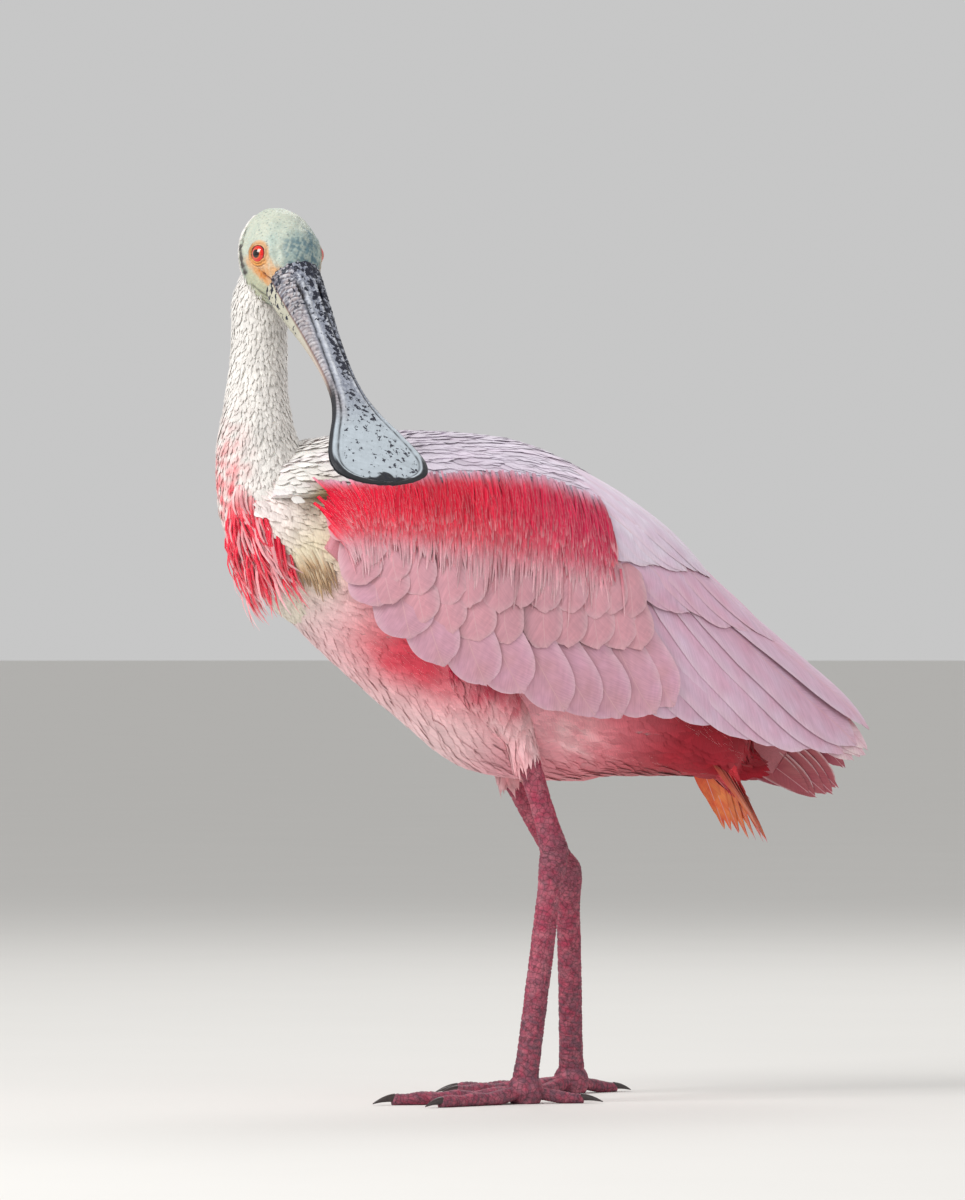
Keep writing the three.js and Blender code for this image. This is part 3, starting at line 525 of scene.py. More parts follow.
COAT_DEPTH = 0.9
VOXEL = 0.0022


def skin_core():
    parts = [
        tube(lambda s, a: trunk(s, a, -COAT_DEPTH), eased(-21, 299, 90), 72),
        tube(lambda u, a: neck(u, a, -0.5), np.linspace(0.02, 0.99, 110), 48),
    ]
    parts += [tube(lambda u, a, thigh=thigh: thigh(u, a, -0.8), np.linspace(0, 1, 40), 40)
              for thigh in THIGHS.values()]
    core = object_of("core", *joined(parts))
    core.data.remesh_voxel_size = VOXEL
    bpy.context.view_layer.objects.active = core
    bpy.ops.object.voxel_remesh()
    smooth = core.modifiers.new("smooth", "SMOOTH")
    smooth.iterations = 4
    split = core.modifiers.new("triangles", "TRIANGULATE")
    split.min_vertices = 4
    mesh = core.evaluated_get(bpy.context.evaluated_depsgraph_get()).to_mesh()
    points = np.empty(len(mesh.vertices) * 3, np.float32)
    mesh.vertices.foreach_get("co", points)
    faces = np.empty(len(mesh.loops), np.int32)
    mesh.loops.foreach_get("vertex_index", faces)
    bpy.data.objects.remove(core)
    return points.reshape(-1, 3) * 1000.0 - SHIFT, faces.reshape(-1, 3)


core_points, core_faces = skin_core()
on_neck = step(core_points[:, 2], 330, 350)
on_thigh = step(-core_points[:, 2], -222, -200) * step(np.abs(core_points[:, 1]), 12, 20)
core_colour = tint(trunk_colour(core_points), neck_colour(core_points), on_neck)
core_colour = tint(core_colour, thigh_colour(core_points), on_thigh)
head_points, head_faces = tube(skull, eased(-27, 26, 230), 300)
stand_out = face_relief(head_points)
across_axis = head_points - HEAD_AT - spread((head_points - HEAD_AT) @ HEAD_ALONG) * HEAD_ALONG
outward = unit(across_axis + 1e-6)
head_points = head_points + outward * spread(stand_out)
skin = object_of("skin", *joined([
    (core_points, core_faces, core_colour),
    (head_points, head_faces, face_colour(head_points)),
])[:2], finish=bare_skin, marking=np.concatenate([core_colour, face_colour(head_points)]))
fit(skin, "white_plumage", "torso", "neck", "thigh_left", "thigh_right", "head")


# The eyes: a wet ball with a scarlet iris, an orange ring round the pupil and a dark rim under the lids.
PUPIL_RADIUS, RING_RADIUS, IRIS_RADIUS = 2.1, 2.6, 4.35
GAZE_FORWARD, GAZE_UP = 0.22, 0.28
EYE_SET_BACK = 5.4
EYE_OPENING = (EYE_FORWARD + 0.3, 19.0, EYE_UP)

wet_eye, tree, shader = new_material("cornea over iris", Roughness=0.12, IOR=1.38)
shader.inputs["Coat Weight"].default_value = 1.0
shader.inputs["Coat Roughness"].default_value = 0.02
gaze = add(tree, "ShaderNodeAttribute", attribute_name="from_gaze")
place = add(tree, "ShaderNodeTexCoord")
# The iris's fibres, as coarse as 0.3 mm so that they show.
fibres = noise(tree, place, 0.0003)
shift = add(tree, "ShaderNodeMath", {0: fibres.outputs["Fac"], 1: 0.5}, operation="SUBTRACT")
ragged = add(tree, "ShaderNodeMath", {0: shift.outputs["Value"], 1: 0.5, 2: gaze.outputs["Fac"]},
             operation="MULTIPLY_ADD")
scaled = add(tree, "ShaderNodeMath", {0: ragged.outputs["Value"], 1: EYE_RADIUS}, operation="DIVIDE")
iris = add(tree, "ShaderNodeValToRGB", {"Fac": scaled.outputs["Value"]})
STOPS = [
    (0.0, "#020202"), (PUPIL_RADIUS - 0.12, "#030202"), (PUPIL_RADIUS + 0.05, "#7a2a08"),
    (RING_RADIUS, "#f0641c"), (RING_RADIUS + 0.3, "#cf1a0c"), (IRIS_RADIUS - 0.55, "#e4120a"),
    (IRIS_RADIUS - 0.05, "#8e0f08"), (IRIS_RADIUS + 0.2, "#2a0a08"),
]
while len(iris.color_ramp.elements) < len(STOPS):
    iris.color_ramp.elements.new(0.5)
for stop, (radius, colour) in zip(iris.color_ramp.elements, STOPS):
    stop.position = radius / EYE_RADIUS
    stop.color = (*linear(colour), 1)
tree.links.new(iris.outputs["Color"], shader.inputs["Base Color"])

for side, name in ((-1, "left"), (1, "right")):
    looks = unit(HEAD_RIGHT * side + HEAD_ALONG * GAZE_FORWARD + HEAD_UP * GAZE_UP)
    opening_f, opening_r, opening_u = EYE_OPENING
    centre = head_point(opening_f, side * opening_r, opening_u) - looks * EYE_SET_BACK
    second = unit(np.cross(looks, HEAD_UP))
    third = np.cross(looks, second)

    def eyeball(polar, angle):
        bulge = EYE_RADIUS + 0.35 * np.exp(-((polar / 0.5) ** 2))
        ring = spread(np.cos(angle)) * second + spread(np.sin(angle)) * third
        return centre + spread(bulge) * (spread(np.cos(polar)) * looks + spread(np.sin(polar)) * ring)

    points, faces = tube(eyeball, np.linspace(0.01, np.pi - 0.01, 90), 72)
    away = np.arccos(np.clip(unit(points - centre) @ looks, -1, 1))
    eye = object_of(f"eyeball_{name}", points, faces, wet_eye, values={"from_gaze": np.sin(away) * EYE_RADIUS
                    * np.where(away < np.pi / 2, 1, 0) + np.where(away < np.pi / 2, 0, EYE_RADIUS)})
    fit(eye, "eye", f"eye_{name}")


# The bill: two long horn plates. The upper one has a furrow along each side from the nostril to the tip,
# cross ridges worn into its flanks, and a black rim round the spoon. The lower one fits inside its edge.
BILL = profile([
    [16, 13, 14.5, 13.4], [22, 13.2, 16, 14.2], [30, 11.6, 15.6, 14], [44, 9.2, 12.8, 12.8],
    [62, 7, 8.6, 10.8], [80, 5.4, 5.4, 9.3], [96, 4.4, 3.9, 8.8], [110, 3.8, 3, 10.2], [124, 3.3, 2.6, 14.6],
    [138, 3, 2.3, 21.2], [151, 2.8, 2.1, 26.6], [160, 2.6, 2, 28], [167, 2.3, 1.8, 24.8],
    [172, 1.9, 1.5, 15], [174, 1.4, 1.2, 5],
])
FURROW = profile([[16, 5.2], [34, 5.6], [60, 5.2], [90, 5.6], [110, 7.0], [124, 10.4], [138, 16.6],
                  [151, 21.8], [160, 23.0], [167, 19.0], [171, 11.0], [174, 2.0]])
MOUTH_LINE = 0.9
BILL_GAP = 0.35
LOWER_WIDTH, LOWER_FULLNESS = 0.95, 0.4


def cross_ridges(at, f, w):
    """Worn ridges across the flanks, about 2.4 mm apart and broken up, from -1 to 1."""
    phase = 2 * np.pi * (f + 0.25 * np.abs(w)) / 2.4 + 2.0 * ripple(at, 7, 31)
    return np.sin(phase) * np.clip(0.75 + 0.6 * ripple(at, 4, 39), 0.1, 1.2)


def leaf_faces(rows, columns):
    """Faces of two sheets that share their edge. The under sheet has its own points only inside the edge."""
    top = np.arange(rows * columns).reshape(rows, columns)
    under = top.copy()
    under[1:-1, 1:-1] = rows * columns + np.arange((rows - 2) * (columns - 2)).reshape(rows - 2, columns - 2)

    def quads(index):
        a, b, c, d = (x.ravel() for x in (index[:-1, :-1], index[:-1, 1:], index[1:, :-1], index[1:, 1:]))
        first, second = np.stack([a, b, c], -1), np.stack([b, d, c], -1)
        # The first and last squares are cut the other way, or both sheets would have the same triangle there.
        first[[0, -1], 2] = d[[0, -1]]
        second[[0, -1], 0] = a[[0, -1]]
        return np.concatenate([first, second])

    return np.concatenate([quads(top), quads(under)[:, ::-1]])


def bill_half(upper, count=300, columns=97):
    """One half as a closed sheet: its outer face and, inside, the flat face at the mouth line."""
    f = eased(16, 174, count)
    over, under, half = BILL(f)
    furrow = FURROW(f)[0]
    turn = np.linspace(-np.pi / 2, np.pi / 2, columns)
    v = np.sin(turn)
    height, width = (over, half) if upper else (under, half * LOWER_WIDTH)
    flat_w = v[None, :] * width[:, None]
    w = flat_w if upper else flat_w * (1 + LOWER_FULLNESS * np.cos(turn))[None, :]
    rise = np.cos(turn)[None, :] * height[:, None]
    at = np.stack([np.broadcast_to(f[:, None], w.shape), w, rise], -1)
    edge = width[:, None] - np.abs(flat_w)
    inside = step(edge, 0.0, 1.6)
    from_furrow = np.abs(w) - furrow[:, None]
    spoon = step(f, 112, 140)[:, None]
    base = step(-f, -80, -40)[:, None]
    if upper:
        relief = -(0.75 - 0.35 * spoon) * bump(from_furrow, 0, 0.75) * step(f, 20, 34)[:, None]
        relief = relief + 0.32 * bump(from_furrow, -2.0, 1.0) * (1 - spoon) * step(f, 22, 40)[:, None]
        flank = step(from_furrow, 0.6, 1.8) * step(f, 24, 32)[:, None] * step(-f, -118, -98)[:, None]
        relief = relief + 0.42 * flank * cross_ridges(at * [1, 1, 0], f[:, None], w)
        crust = 0.42 * ripple(at, 1.9, 32) + 0.30 * ripple(at, 3.4, 33)
        relief = relief + crust * (0.35 + 0.65 * base) * (1 - 0.7 * spoon)
        relief = relief - 0.5 * spoon * step(edge, 3.4, 9.0) + 0.35 * spoon * bump(edge, 2.2, 1.6)
        slit = np.abs(np.abs(w) - (6.3 - 0.09 * (f[:, None] - 33)))
        nostril = np.exp(-((slit / 0.85) ** 2)) * np.exp(-(((f[:, None] - 38) / 5.2) ** 4))
        nostril_lip = bump(slit, 1.9, 0.7) * np.exp(-(((f[:, None] - 38) / 6.5) ** 4))
        relief = relief - 1.7 * nostril + 0.45 * nostril_lip
        rise = rise + relief * inside
    else:
        fold = 0.3 * np.sin(w * 1.5 + 0.6 * ripple(at, 7, 34)) + 0.3 * ripple(at, 3.0, 35)
        groove = -0.9 * bump(np.abs(w), 0, 2.4) * step(f, 34, 60)[:, None]
        rise = rise + (fold * (0.4 + 0.6 * base) + groove * (1 - 0.5 * spoon)) * inside
    sign = 1 if upper else -1
    line = MOUTH_LINE + sign * BILL_GAP / 2
    outer = head_point(f[:, None], w, line + sign * rise)
    inner = head_point(f[1:-1, None], flat_w[1:-1, 1:-1], line + 0 * w[1:-1, 1:-1])
    points = np.concatenate([outer.reshape(-1, 3), inner.reshape(-1, 3)])
    faces = leaf_faces(*outer.shape[:2])
    flat = np.stack(np.broadcast_arrays(f[:, None], w, edge, from_furrow, rise), -1)
    local = np.concatenate([flat.reshape(-1, 5), flat[1:-1, 1:-1].reshape(-1, 5)])
    return (*solid(points, faces), local)


HORN_PALE = linear("#b7c1c9")
HORN_PINK = linear("#b3a19c")
HORN_GREY = linear("#989daa")
CRUST_BLUE = linear("#3c4359")
CRUST_PALE = linear("#cdd0d6")
HORN_BLACK = linear("#15161d")
LOWER_HORN = linear("#bdbba8")
LOWER_PINK = linear("#bcaea2")


def bill_colour(local, upper):
    f, w, edge, from_furrow, rise = local.T
    at = local[:, :3] * np.array([1, 1, 0])
    spoon = step(f, 104, 136)
    colour = tint(HORN_GREY + 0 * at, HORN_PALE, spoon)
    flank = step(np.abs(w), 5, 9) * (1 - spoon)
    colour = tint(colour, HORN_PINK, flank * 0.7 * step(w, -3, 5))
    if not upper:
        colour = tint(colour, tint(LOWER_HORN, LOWER_PINK, step(f, 50, 90)), (1 - spoon) * 0.9)
        colour = tint(colour, GAPE_BROWN, (1 - spoon) * step(-rise, -1.0, -0.4) * 0.6)
    if upper:
        crusty = (0.45 + 0.55 * step(-f, -62, -30)) * (1 - spoon)
        colour = tint(colour, CRUST_BLUE, crusty * np.clip(0.55 + 1.3 * ripple(at, 2.0, 37), 0, 1) * 0.8)
        colour = tint(colour, CRUST_PALE, crusty * step(ripple(at, 1.5, 38), 0.25, 0.7) * 0.75)
        # Painted shade and painted highlight: the valleys between the cross ridges are painted dark, and
        # their crests pale.
        valley = cross_ridges(at * [1, 1, 0], f, w)
        colour = tint(colour, HORN_BLACK * 2, flank * step(-valley, 0.0, 0.8) * 0.6)
        colour = tint(colour, CRUST_PALE, flank * step(valley, 0.3, 1.0) * 0.45)
        ridge = bump(from_furrow, -2.0, 0.9) * (1 - spoon) * step(f, 24, 40)
        colour = tint(colour, CRUST_PALE, ridge * np.clip(0.6 + 0.5 * ripple(at, 3, 40), 0, 1))
        line = bump(from_furrow, 0, 0.6) * step(f, 26, 40) * np.clip(0.9 + 0.5 * ripple(at, 4, 41), 0.3, 1)
        colour = tint(colour, HORN_BLACK, line * 0.95)
        mouth = step(-rise, -1.0, -0.4) * (1 - spoon)
        colour = tint(colour, GAPE_BROWN, mouth * 0.6)
        slit = np.abs(np.abs(w) - (6.3 - 0.09 * (f - 33)))
        nostril = np.exp(-((slit / 0.95) ** 2)) * np.exp(-(((f - 38) / 5.6) ** 4))
        colour = tint(colour, linear("#1c0d0c"), np.clip(nostril * 1.3, 0, 1))
    rim = step(-edge, -1.9, -0.9) * step(f, 92, 112)
    to_tip = 174 - f + 0.5 * ripple(at, 3, 42)
    edge_width = 1.2 + 2.6 * step(f, 146, 164)
    tip_edge = step(edge_width + 0.5 - edge, 0, 0.9) * step(f, 150, 160)
    tip = step(6.4 + 1.2 * ripple(at, 3, 43) - np.hypot(w - 1.0, to_tip * 1.15 - 1.5), -0.4, 0.4)
    tip = np.maximum(tip, step(3.6 - to_tip, -0.5, 0.5))
    colour = tint(colour, HORN_BLACK, np.clip(rim + tip + tip_edge, 0, 1) * 0.98)
    return colour * spread(1 + 0.08 * ripple(at, 3, 36))


def bill_darkness(local):
    """How thickly the dark specks lie, from 0 to 1."""
    f, w, edge, _, _ = local.T
    base = step(-f, -52, -20) * 0.82
    left = step(-f, -86, -40) * 0.55
    right = step(-w, -4.0, 1.0) * step(-f, -118, -92) * 0.9
    spoon = 0.42 + 0.30 * step(-f, -140, -106) + 0.12 * step(-w, -6, 2)
    spoon = spoon * step(f, 100, 112) * step(edge, 4.5, 8)
    return np.clip(np.maximum(np.maximum(base, left), np.maximum(right, spoon)), 0.1, 1)


# Horn of the bill: dull waxy keratin, pale blue-grey, freckled with blue-black pigment under the surface.
horn, tree, shader = new_material("bill horn", Roughness=0.42)
shader.inputs["Specular IOR Level"].default_value = 0.45
marking = add(tree, "ShaderNodeAttribute", attribute_name="marking")
dark = add(tree, "ShaderNodeAttribute", attribute_name="darkness")
place = add(tree, "ShaderNodeTexCoord")
# Freckles of 1 to 3 mm, broken at their edges by a 0.5 mm grain.
freckles = noise(tree, place, 0.0028, Detail=4.0, Roughness=0.6)
reach = add(tree, "ShaderNodeMapRange",
            {"Value": dark.outputs["Fac"], "To Min": 0.74, "To Max": 0.42})
over = add(tree, "ShaderNodeMath", {0: freckles.outputs["Fac"], 1: reach.outputs["Result"]},
           operation="SUBTRACT")
spotted = add(tree, "ShaderNodeMapRange", {"Value": over.outputs["Value"], "From Max": 0.035})
mixed = add(tree, "ShaderNodeMix", {0: spotted.outputs["Result"], 6: marking.outputs["Color"]},
            data_type="RGBA")
mixed.inputs[7].default_value = (*linear("#1d2030"), 1)
tree.links.new(mixed.outputs[2], shader.inputs["Base Color"])
wear = noise(tree, place, 0.0011, Detail=5.0)
bumped(tree, shader, wear.outputs["Fac"], 0.4, 0.0004)
gloss = add(tree, "ShaderNodeMapRange", {"Value": wear.outputs["Fac"], "To Min": 0.34, "To Max": 0.58})
tree.links.new(gloss.outputs["Result"], shader.inputs["Roughness"])

for name, upper in (("bill_upper", True), ("bill_lower", False)):
    points, faces, local = bill_half(upper)
    plate = object_of(f"horn_{name}", points, faces, horn, marking=bill_colour(local, upper),
                      values={"darkness": bill_darkness(local)})
    fit(plate, "bill_horn", name)


# The legs: bare shins, tarsi and toes in small plates of horny skin over bone and tendon, knobbed at the
# ankle, with a short web between the front toes. Each leg is one hide from feathers to claws.
LEGS = {
    "left": {
        "side": -1,
        "shin": [[-33, -33, 207, 6.8, 6.4], [-24, -32.5, 186, 6.4, 5.8], [-16, -31.5, 162, 6.2, 5.4],
                 [-9, -31, 140, 6.6, 5.8], [-8, -31, 134, 6.6, 5.8]],
        "ankle": [-8, -31, 134], "foot": [-25, -33, 13], "heading": 4,
    },
    "right": {
        "side": 1,
        "shin": [[-17, 33, 188, 6.8, 6.4], [-5, 33.5, 165, 6.4, 5.8], [6, 34.5, 146, 6.2, 5.4],
                 [20, 36, 126, 6.6, 5.8], [22, 36, 122, 6.6, 5.8]],
        "ankle": [22, 36, 122], "foot": [34, 66, 13], "heading": -12,
    },
}
# Name, turn from the foot's heading, length with the claw, radius at the base.
TOES = [("inner", -29, 66, 4.3), ("middle", 0, 84, 4.6), ("outer", 30, 74, 4.3), ("hind", 172, 42, 4.0)]
CLAW_LENGTH = 12
TOE_TIP_SHARE = 0.72
PLATE = 2.5
LEG_RED = linear("#ac3a55")
LEG_PALE = linear("#d0808d")
LEG_GREY = linear("#5d4552")


def plates(a, b, size):
    """Height of a net of rounded six-sided plates, from 0 in the seams to 1, at places in millimetres."""
    x, y = a / size, b / size / 0.866
    nearest = np.full(np.broadcast(x, y).shape, 9.0)
    second = nearest.copy()
    row = np.round(y)
    for dr in (-1, 0, 1):
        level = row + dr
        offset = 0.5 * np.mod(level, 2)
        for dc in (-1, 0, 1):
            column = np.round(x - offset) + dc + offset
            wobble = 0.22 * np.sin(column * 12.9 + level * 78.2)
            d = np.hypot(x - column - wobble, (y - level - 0.7 * wobble) * 0.866)
            second = np.minimum(second, np.maximum(nearest, d))
            nearest = np.minimum(nearest, d)
    return step(second - nearest, 0.0, 0.3)


def leg_surface(leg):
    ankle, foot = np.array(leg["ankle"]), np.array(leg["foot"])
    tarsus = []
    for u in np.linspace(0.08, 1.04, 9):
        flare = 1 + 0.16 * np.exp(-9 * u) + 0.1 * np.exp(-12 * (1 - u))
        tarsus.append([*(ankle + (foot - ankle) * u), 6.4 * flare, 6.4 * 0.82 * flare])
    stations = leg["shin"] + tarsus
    bones = limb(stations)
    length = sum(np.linalg.norm(np.subtract(a[:3], b[:3])) for a, b in zip(stations, stations[1:]))

    def point(u, angle):
        plain = bones(u, angle, 0.0)
        radius = 6.2
        along, around = u * length, angle * radius
        net = plates(around + 0 * along, along + 0 * around, PLATE)
        front = step(-np.cos(angle), 0.35, 0.8)
        scutes = step(np.abs(np.mod(along / 4.2, 1) - 0.5), 0.0, 0.14) * 1.0
        relief = 0.42 * (net * (1 - front) + scutes * front) + 0.18 * ripple(plain, 7, 41)
        knob = 1.9 * np.exp(-((np.linalg.norm(plain - ankle, axis=-1) / 11) ** 2))
        knob = knob * (0.75 + 0.25 * np.cos(2 * angle))
        tendon = 0.5 * bump(np.cos(angle), 1, 0.25) * step(-plain[..., 2], -105, -80)
        return bones(u, angle, relief + knob + tendon - 0.5)

    return tube(point, np.linspace(0, 1, 320), 52)


def toe_path(leg, turn):
    yaw = np.pi - leg["side"] * np.radians(turn + leg["heading"] * leg["side"])
    along = np.array([np.cos(yaw), np.sin(yaw), 0])
    return along, np.array([-along[1], along[0], 0]), np.array([*leg["foot"][:2], 0])


def toe_surface(leg, turn, length, radius):
    along, across, origin = toe_path(leg, turn)
    end = length - CLAW_LENGTH + 1.5

    def point(u, angle):
        d = end * u
        r = radius * (1 + (TOE_TIP_SHARE - 1) * u) * (1 + 0.07 * np.cos(d * 2 * np.pi / 19))
        r = r * np.sqrt(np.clip(1 - ((d - end + 3) / 3.6).clip(0, 1) ** 2, 0.05, 1))
        height = r * 0.9 + np.maximum(0, 1 - d / 20) * 4
        top = step(np.cos(angle), -0.1, 0.6)
        scutes = step(np.abs(np.mod(d / 2.6, 1) - 0.5), 0.0, 0.16)
        papillae = plates(angle * r, d + 0 * angle, 1.8)
        r = r + 0.3 * (scutes * top + papillae * (1 - top)) - 0.3
        z = np.maximum(height + r * np.cos(angle), 0.05 + 0 * angle)
        return origin + spread(d) * along + spread(r * np.sin(angle)) * across + spread(z) * UPWARD

    return tube(point, np.linspace(0, 1, 100), 28)


def foot_pad(leg):
    x, y, _ = leg["foot"]
    height, radii = 6.6, (9.6, 8.6, 10.2)

    def point(polar, angle):
        z = np.maximum(height + radii[2] * np.cos(polar), 0.02)
        ahead = x + radii[0] * np.sin(polar) * np.cos(angle)
        aside = y + radii[1] * np.sin(polar) * np.sin(angle)
        grid = np.stack(np.broadcast_arrays(ahead, aside, z + 0 * angle), -1)
        net = plates(angle * 8, polar * 8 + 0 * angle, 2.2)
        out = grid - np.array([x, y, height])
        swollen = grid + unit(out + 1e-9) * spread(0.3 * net)
        swollen[..., 2] = np.maximum(swollen[..., 2], 0.02)
        return swollen

    return tube(point, np.linspace(0.02, np.pi - 0.02, 40), 48)


def web(leg, turn_a, turn_b):
    """The sheet between two toes, thin in the middle and scalloped along its free edge."""
    a, _, origin = toe_path(leg, turn_a)
    b, _, _ = toe_path(leg, turn_b)

    def point(u, angle):
        across = (1 - np.cos(angle)) / 2
        way = unit(a + (b - a) * spread(across))
        reach = (20 - 7.5 * np.sin(np.pi * across)) * u + 2
        thick = 0.75 * np.sin(angle) * (1 - 0.6 * np.sin(np.pi * across) * u) * (1 - u**6)
        z = 3.1 + thick + 1.8 * (1 - u)
        return origin + way * spread(reach) + spread(z) * UPWARD

    return tube(point, np.linspace(0.05, 1, 24), 48)


def claw_surface(leg, turn, length, radius):
    along, across, origin = toe_path(leg, turn)
    start = length - CLAW_LENGTH
    base = radius * TOE_TIP_SHARE * 0.84

    def point(u, angle):
        r = base + (0.3 - base) * (0.5 * u + 0.5 * u * u)
        height = base * 1.25 + (0.8 - base * 1.25) * u * u
        d = start + (length - start) * u
        under = 1 - 0.35 * step(-np.cos(angle), 0.2, 1)
        z = np.maximum(height + r * np.cos(angle) * under, 0.03)
        return origin + spread(d) * along + spread(r * 0.78 * np.sin(angle)) * across + spread(z) * UPWARD

    return tube(point, np.linspace(0, 1, 40), 28)


def leg_colour(p, leg):
    colour = tint(LEG_RED + 0 * p, LEG_PALE, np.clip(0.35 + 0.55 * ripple(p, 5, 42), 0, 1) * 0.6)
    near_ankle = np.exp(-((np.linalg.norm(p - leg["ankle"], axis=-1) / 16) ** 2))
    low = step(-p[..., 2], -130, -20)
    grey = np.clip(0.75 * near_ankle + 0.25 + 0.42 * low + 0.5 * ripple(p, 3.2, 43), 0, 1)
    colour = tint(colour, LEG_GREY, grey * (0.6 + 0.25 * low))
    return colour * spread(1 + 0.1 * ripple(p, 2, 44))


# Horny leg skin: small close plates with grey seams, dull and dry.
leg_skin, tree, shader = new_material("scaled leg skin", Roughness=0.6)
shader.inputs["Specular IOR Level"].default_value = 0.35
marking = add(tree, "ShaderNodeAttribute", attribute_name="marking")
place = add(tree, "ShaderNodeTexCoord")
flecks = noise(tree, place, 0.0014, Detail=4.0)
shade = add(tree, "ShaderNodeMapRange", {"Value": flecks.outputs["Fac"], "To Min": 0.6, "To Max": 1.35})
# Seams between plates of about 2.6 mm.
seams = add(tree, "ShaderNodeTexVoronoi", {"Vector": place.outputs["Object"], "Scale": 1 / 0.0026},
            feature="DISTANCE_TO_EDGE")
seamed = add(tree, "ShaderNodeMapRange",
             {"Value": seams.outputs["Distance"], "From Max": 0.09, "To Min": 0.42})
both = add(tree, "ShaderNodeMath", {0: shade.outputs["Result"], 1: seamed.outputs["Result"]},
           operation="MULTIPLY")
coloured = add(tree, "ShaderNodeVectorMath", {0: marking.outputs["Color"], 1: both.outputs["Value"]},
               operation="MULTIPLY")
tree.links.new(coloured.outputs["Vector"], shader.inputs["Base Color"])
bumped(tree, shader, flecks.outputs["Fac"], 0.3, 0.0003)

# Claw keratin: dense dark horn, a little polished by wear.
claw_horn, tree, shader = new_material("claw keratin", Roughness=0.35)
place = add(tree, "ShaderNodeTexCoord")
growth = noise(tree, place, 0.001, Detail=3.0)
tone = add(tree, "ShaderNodeValToRGB", {"Fac": growth.outputs["Fac"]})
tone.color_ramp.elements[0].color = (*linear("#1d1718"), 1)
tone.color_ramp.elements[1].color = (*linear("#4a3d3c"), 1)
tree.links.new(tone.outputs["Color"], shader.inputs["Base Color"])
bumped(tree, shader, growth.outputs["Fac"], 0.25, 0.0002)

for name, leg in LEGS.items():
    inner, middle, outer = (toe[1] for toe in TOES[:3])
    parts = [leg_surface(leg), foot_pad(leg), web(leg, inner, middle), web(leg, middle, outer)]
    parts += [toe_surface(leg, *toe[1:]) for toe in TOES]
    points, faces = joined(parts)
    hide = object_of(f"leg_hide_{name}", points, faces, leg_skin, marking=leg_colour(points, leg))
    stood_for = [f"{part}_{name}" for part in ("shin", "tarsus", "foot")]
    stood_for += [f"toe_{toe[0]}_{name}" for toe in TOES]
    fit(hide, "leg_skin", *stood_for)
    for toe in TOES:
        points, faces = claw_surface(leg, *toe[1:])
        claw = object_of(f"claw_{toe[0]}_{name}_horn", points, faces, claw_horn)
        fit(claw, "claw_horn", f"claw_{toe[0]}_{name}")


# The coat's feathers: each is a thin closed leaf of keratin, two sheets that share their edge, raised along
# its quill. It lies along the surface it grows from, over the root of the next one behind it.
WIDE_SHAPE = ([0, 0.12, 0.4, 0.7, 0.8, 0.88, 0.94, 0.98, 1],
              [0.3, 0.62, 0.95, 1, 0.95, 0.82, 0.62, 0.36, 0.08])
SOFT_SHAPE = ([0, 0.35, 0.7, 0.92, 1], [0.35, 0.95, 0.95, 0.6, 0.25])
LOCK_SHAPE = ([0, 0.3, 0.7, 1], [0.8, 1, 0.7, 0.12])


def leaves(path, half, length, rows, columns, thick, shape, camber=0.1, tilt=0.0, rounding=0.2, ragged=0.0,
           seed=0):
    """Many feathers at once. path(share) gives the points of each one's quill and the way out there."""
    draw = np.random.default_rng(seed)
    count = len(half)
    u = np.sin(np.linspace(0, np.pi / 2, rows))[None, :, None]
    v = np.linspace(-1, 1, columns)[None, None, :]
    reach = 1 - rounding * v**2 - ragged * draw.uniform(0, 1, (count, 1, columns))
    share = u * reach
    at, out = path(share)
    ahead = unit(path(share + 0.04)[0] - at)
    across = unit(np.cross(out, ahead))
    lift = np.cross(ahead, across)
    wide = half[:, None, None]
    offset = v * np.interp(u, *shape) * wide
    height = tilt * offset - camber * offset**2 / wide
    middle = at + across * spread(offset) + lift * spread(height)
    crown = thick * (1 - np.abs(v) ** 1.4) * np.sin(np.pi * np.clip(u, 0, 1)) ** 0.35
    top = middle + lift * spread(crown + 0 * share)
    under = (middle - lift * spread(0.35 * crown + 0 * share))[:, 1:-1, 1:-1]
    faces = leaf_faces(rows, columns)
    each = rows * columns + (rows - 2) * (columns - 2)
    points = np.concatenate([top.reshape(count, -1, 3), under.reshape(count, -1, 3)], 1).reshape(-1, 3)
    every = (faces[None] + (np.arange(count) * each)[:, None, None]).reshape(-1, 3)
    number = np.broadcast_to(np.arange(count)[:, None, None], share.shape)
    far = share * length[:, None, None]
    facts = np.stack(np.broadcast_arrays(share, v, far, offset, number, 0 * share), -1)
    below = facts[:, 1:-1, 1:-1].copy()
    below[..., 5] = 1
    facts = np.concatenate([facts.reshape(count, -1, 6), below.reshape(count, -1, 6)], 1).reshape(-1, 6)
    return (*solid(points, every), facts)


TUFT_PATCH = 0.003


def dress(name, made, colour, roots, finish, slot, *nodes, patch=TUFT_PATCH, uneven=0.07, seed=5):
    """A coat piece from leaves, coloured by colour(points, facts), with a bake patch at each root's place."""
    points, faces, facts = made
    number = facts[:, 4].astype(int)
    draw = np.random.default_rng(seed)
    tone = 1 + uneven * draw.normal(size=number.max() + 1)
    marking = colour(points, facts) * spread(tone[number])
    across = 0.5 + facts[:, 1] * (0.46 - 0.04 * facts[:, 5])
    bake = roots[number] + np.stack([across - 0.5, facts[:, 0] - 0.5], -1) * patch
    vane = facts[:, 2:4] / 100
    piece = object_of(name, points, faces, finish, marking=marking, maps={"OFBake": bake, "vane": vane})
    fit(piece, slot, *nodes)


def paler_to_tip(colour, root, gain):
    """The colour by place alone, times root at each feather's root and root + gain at its tip."""
    return lambda at, facts: colour(at) * spread(root + gain * facts[:, 0])


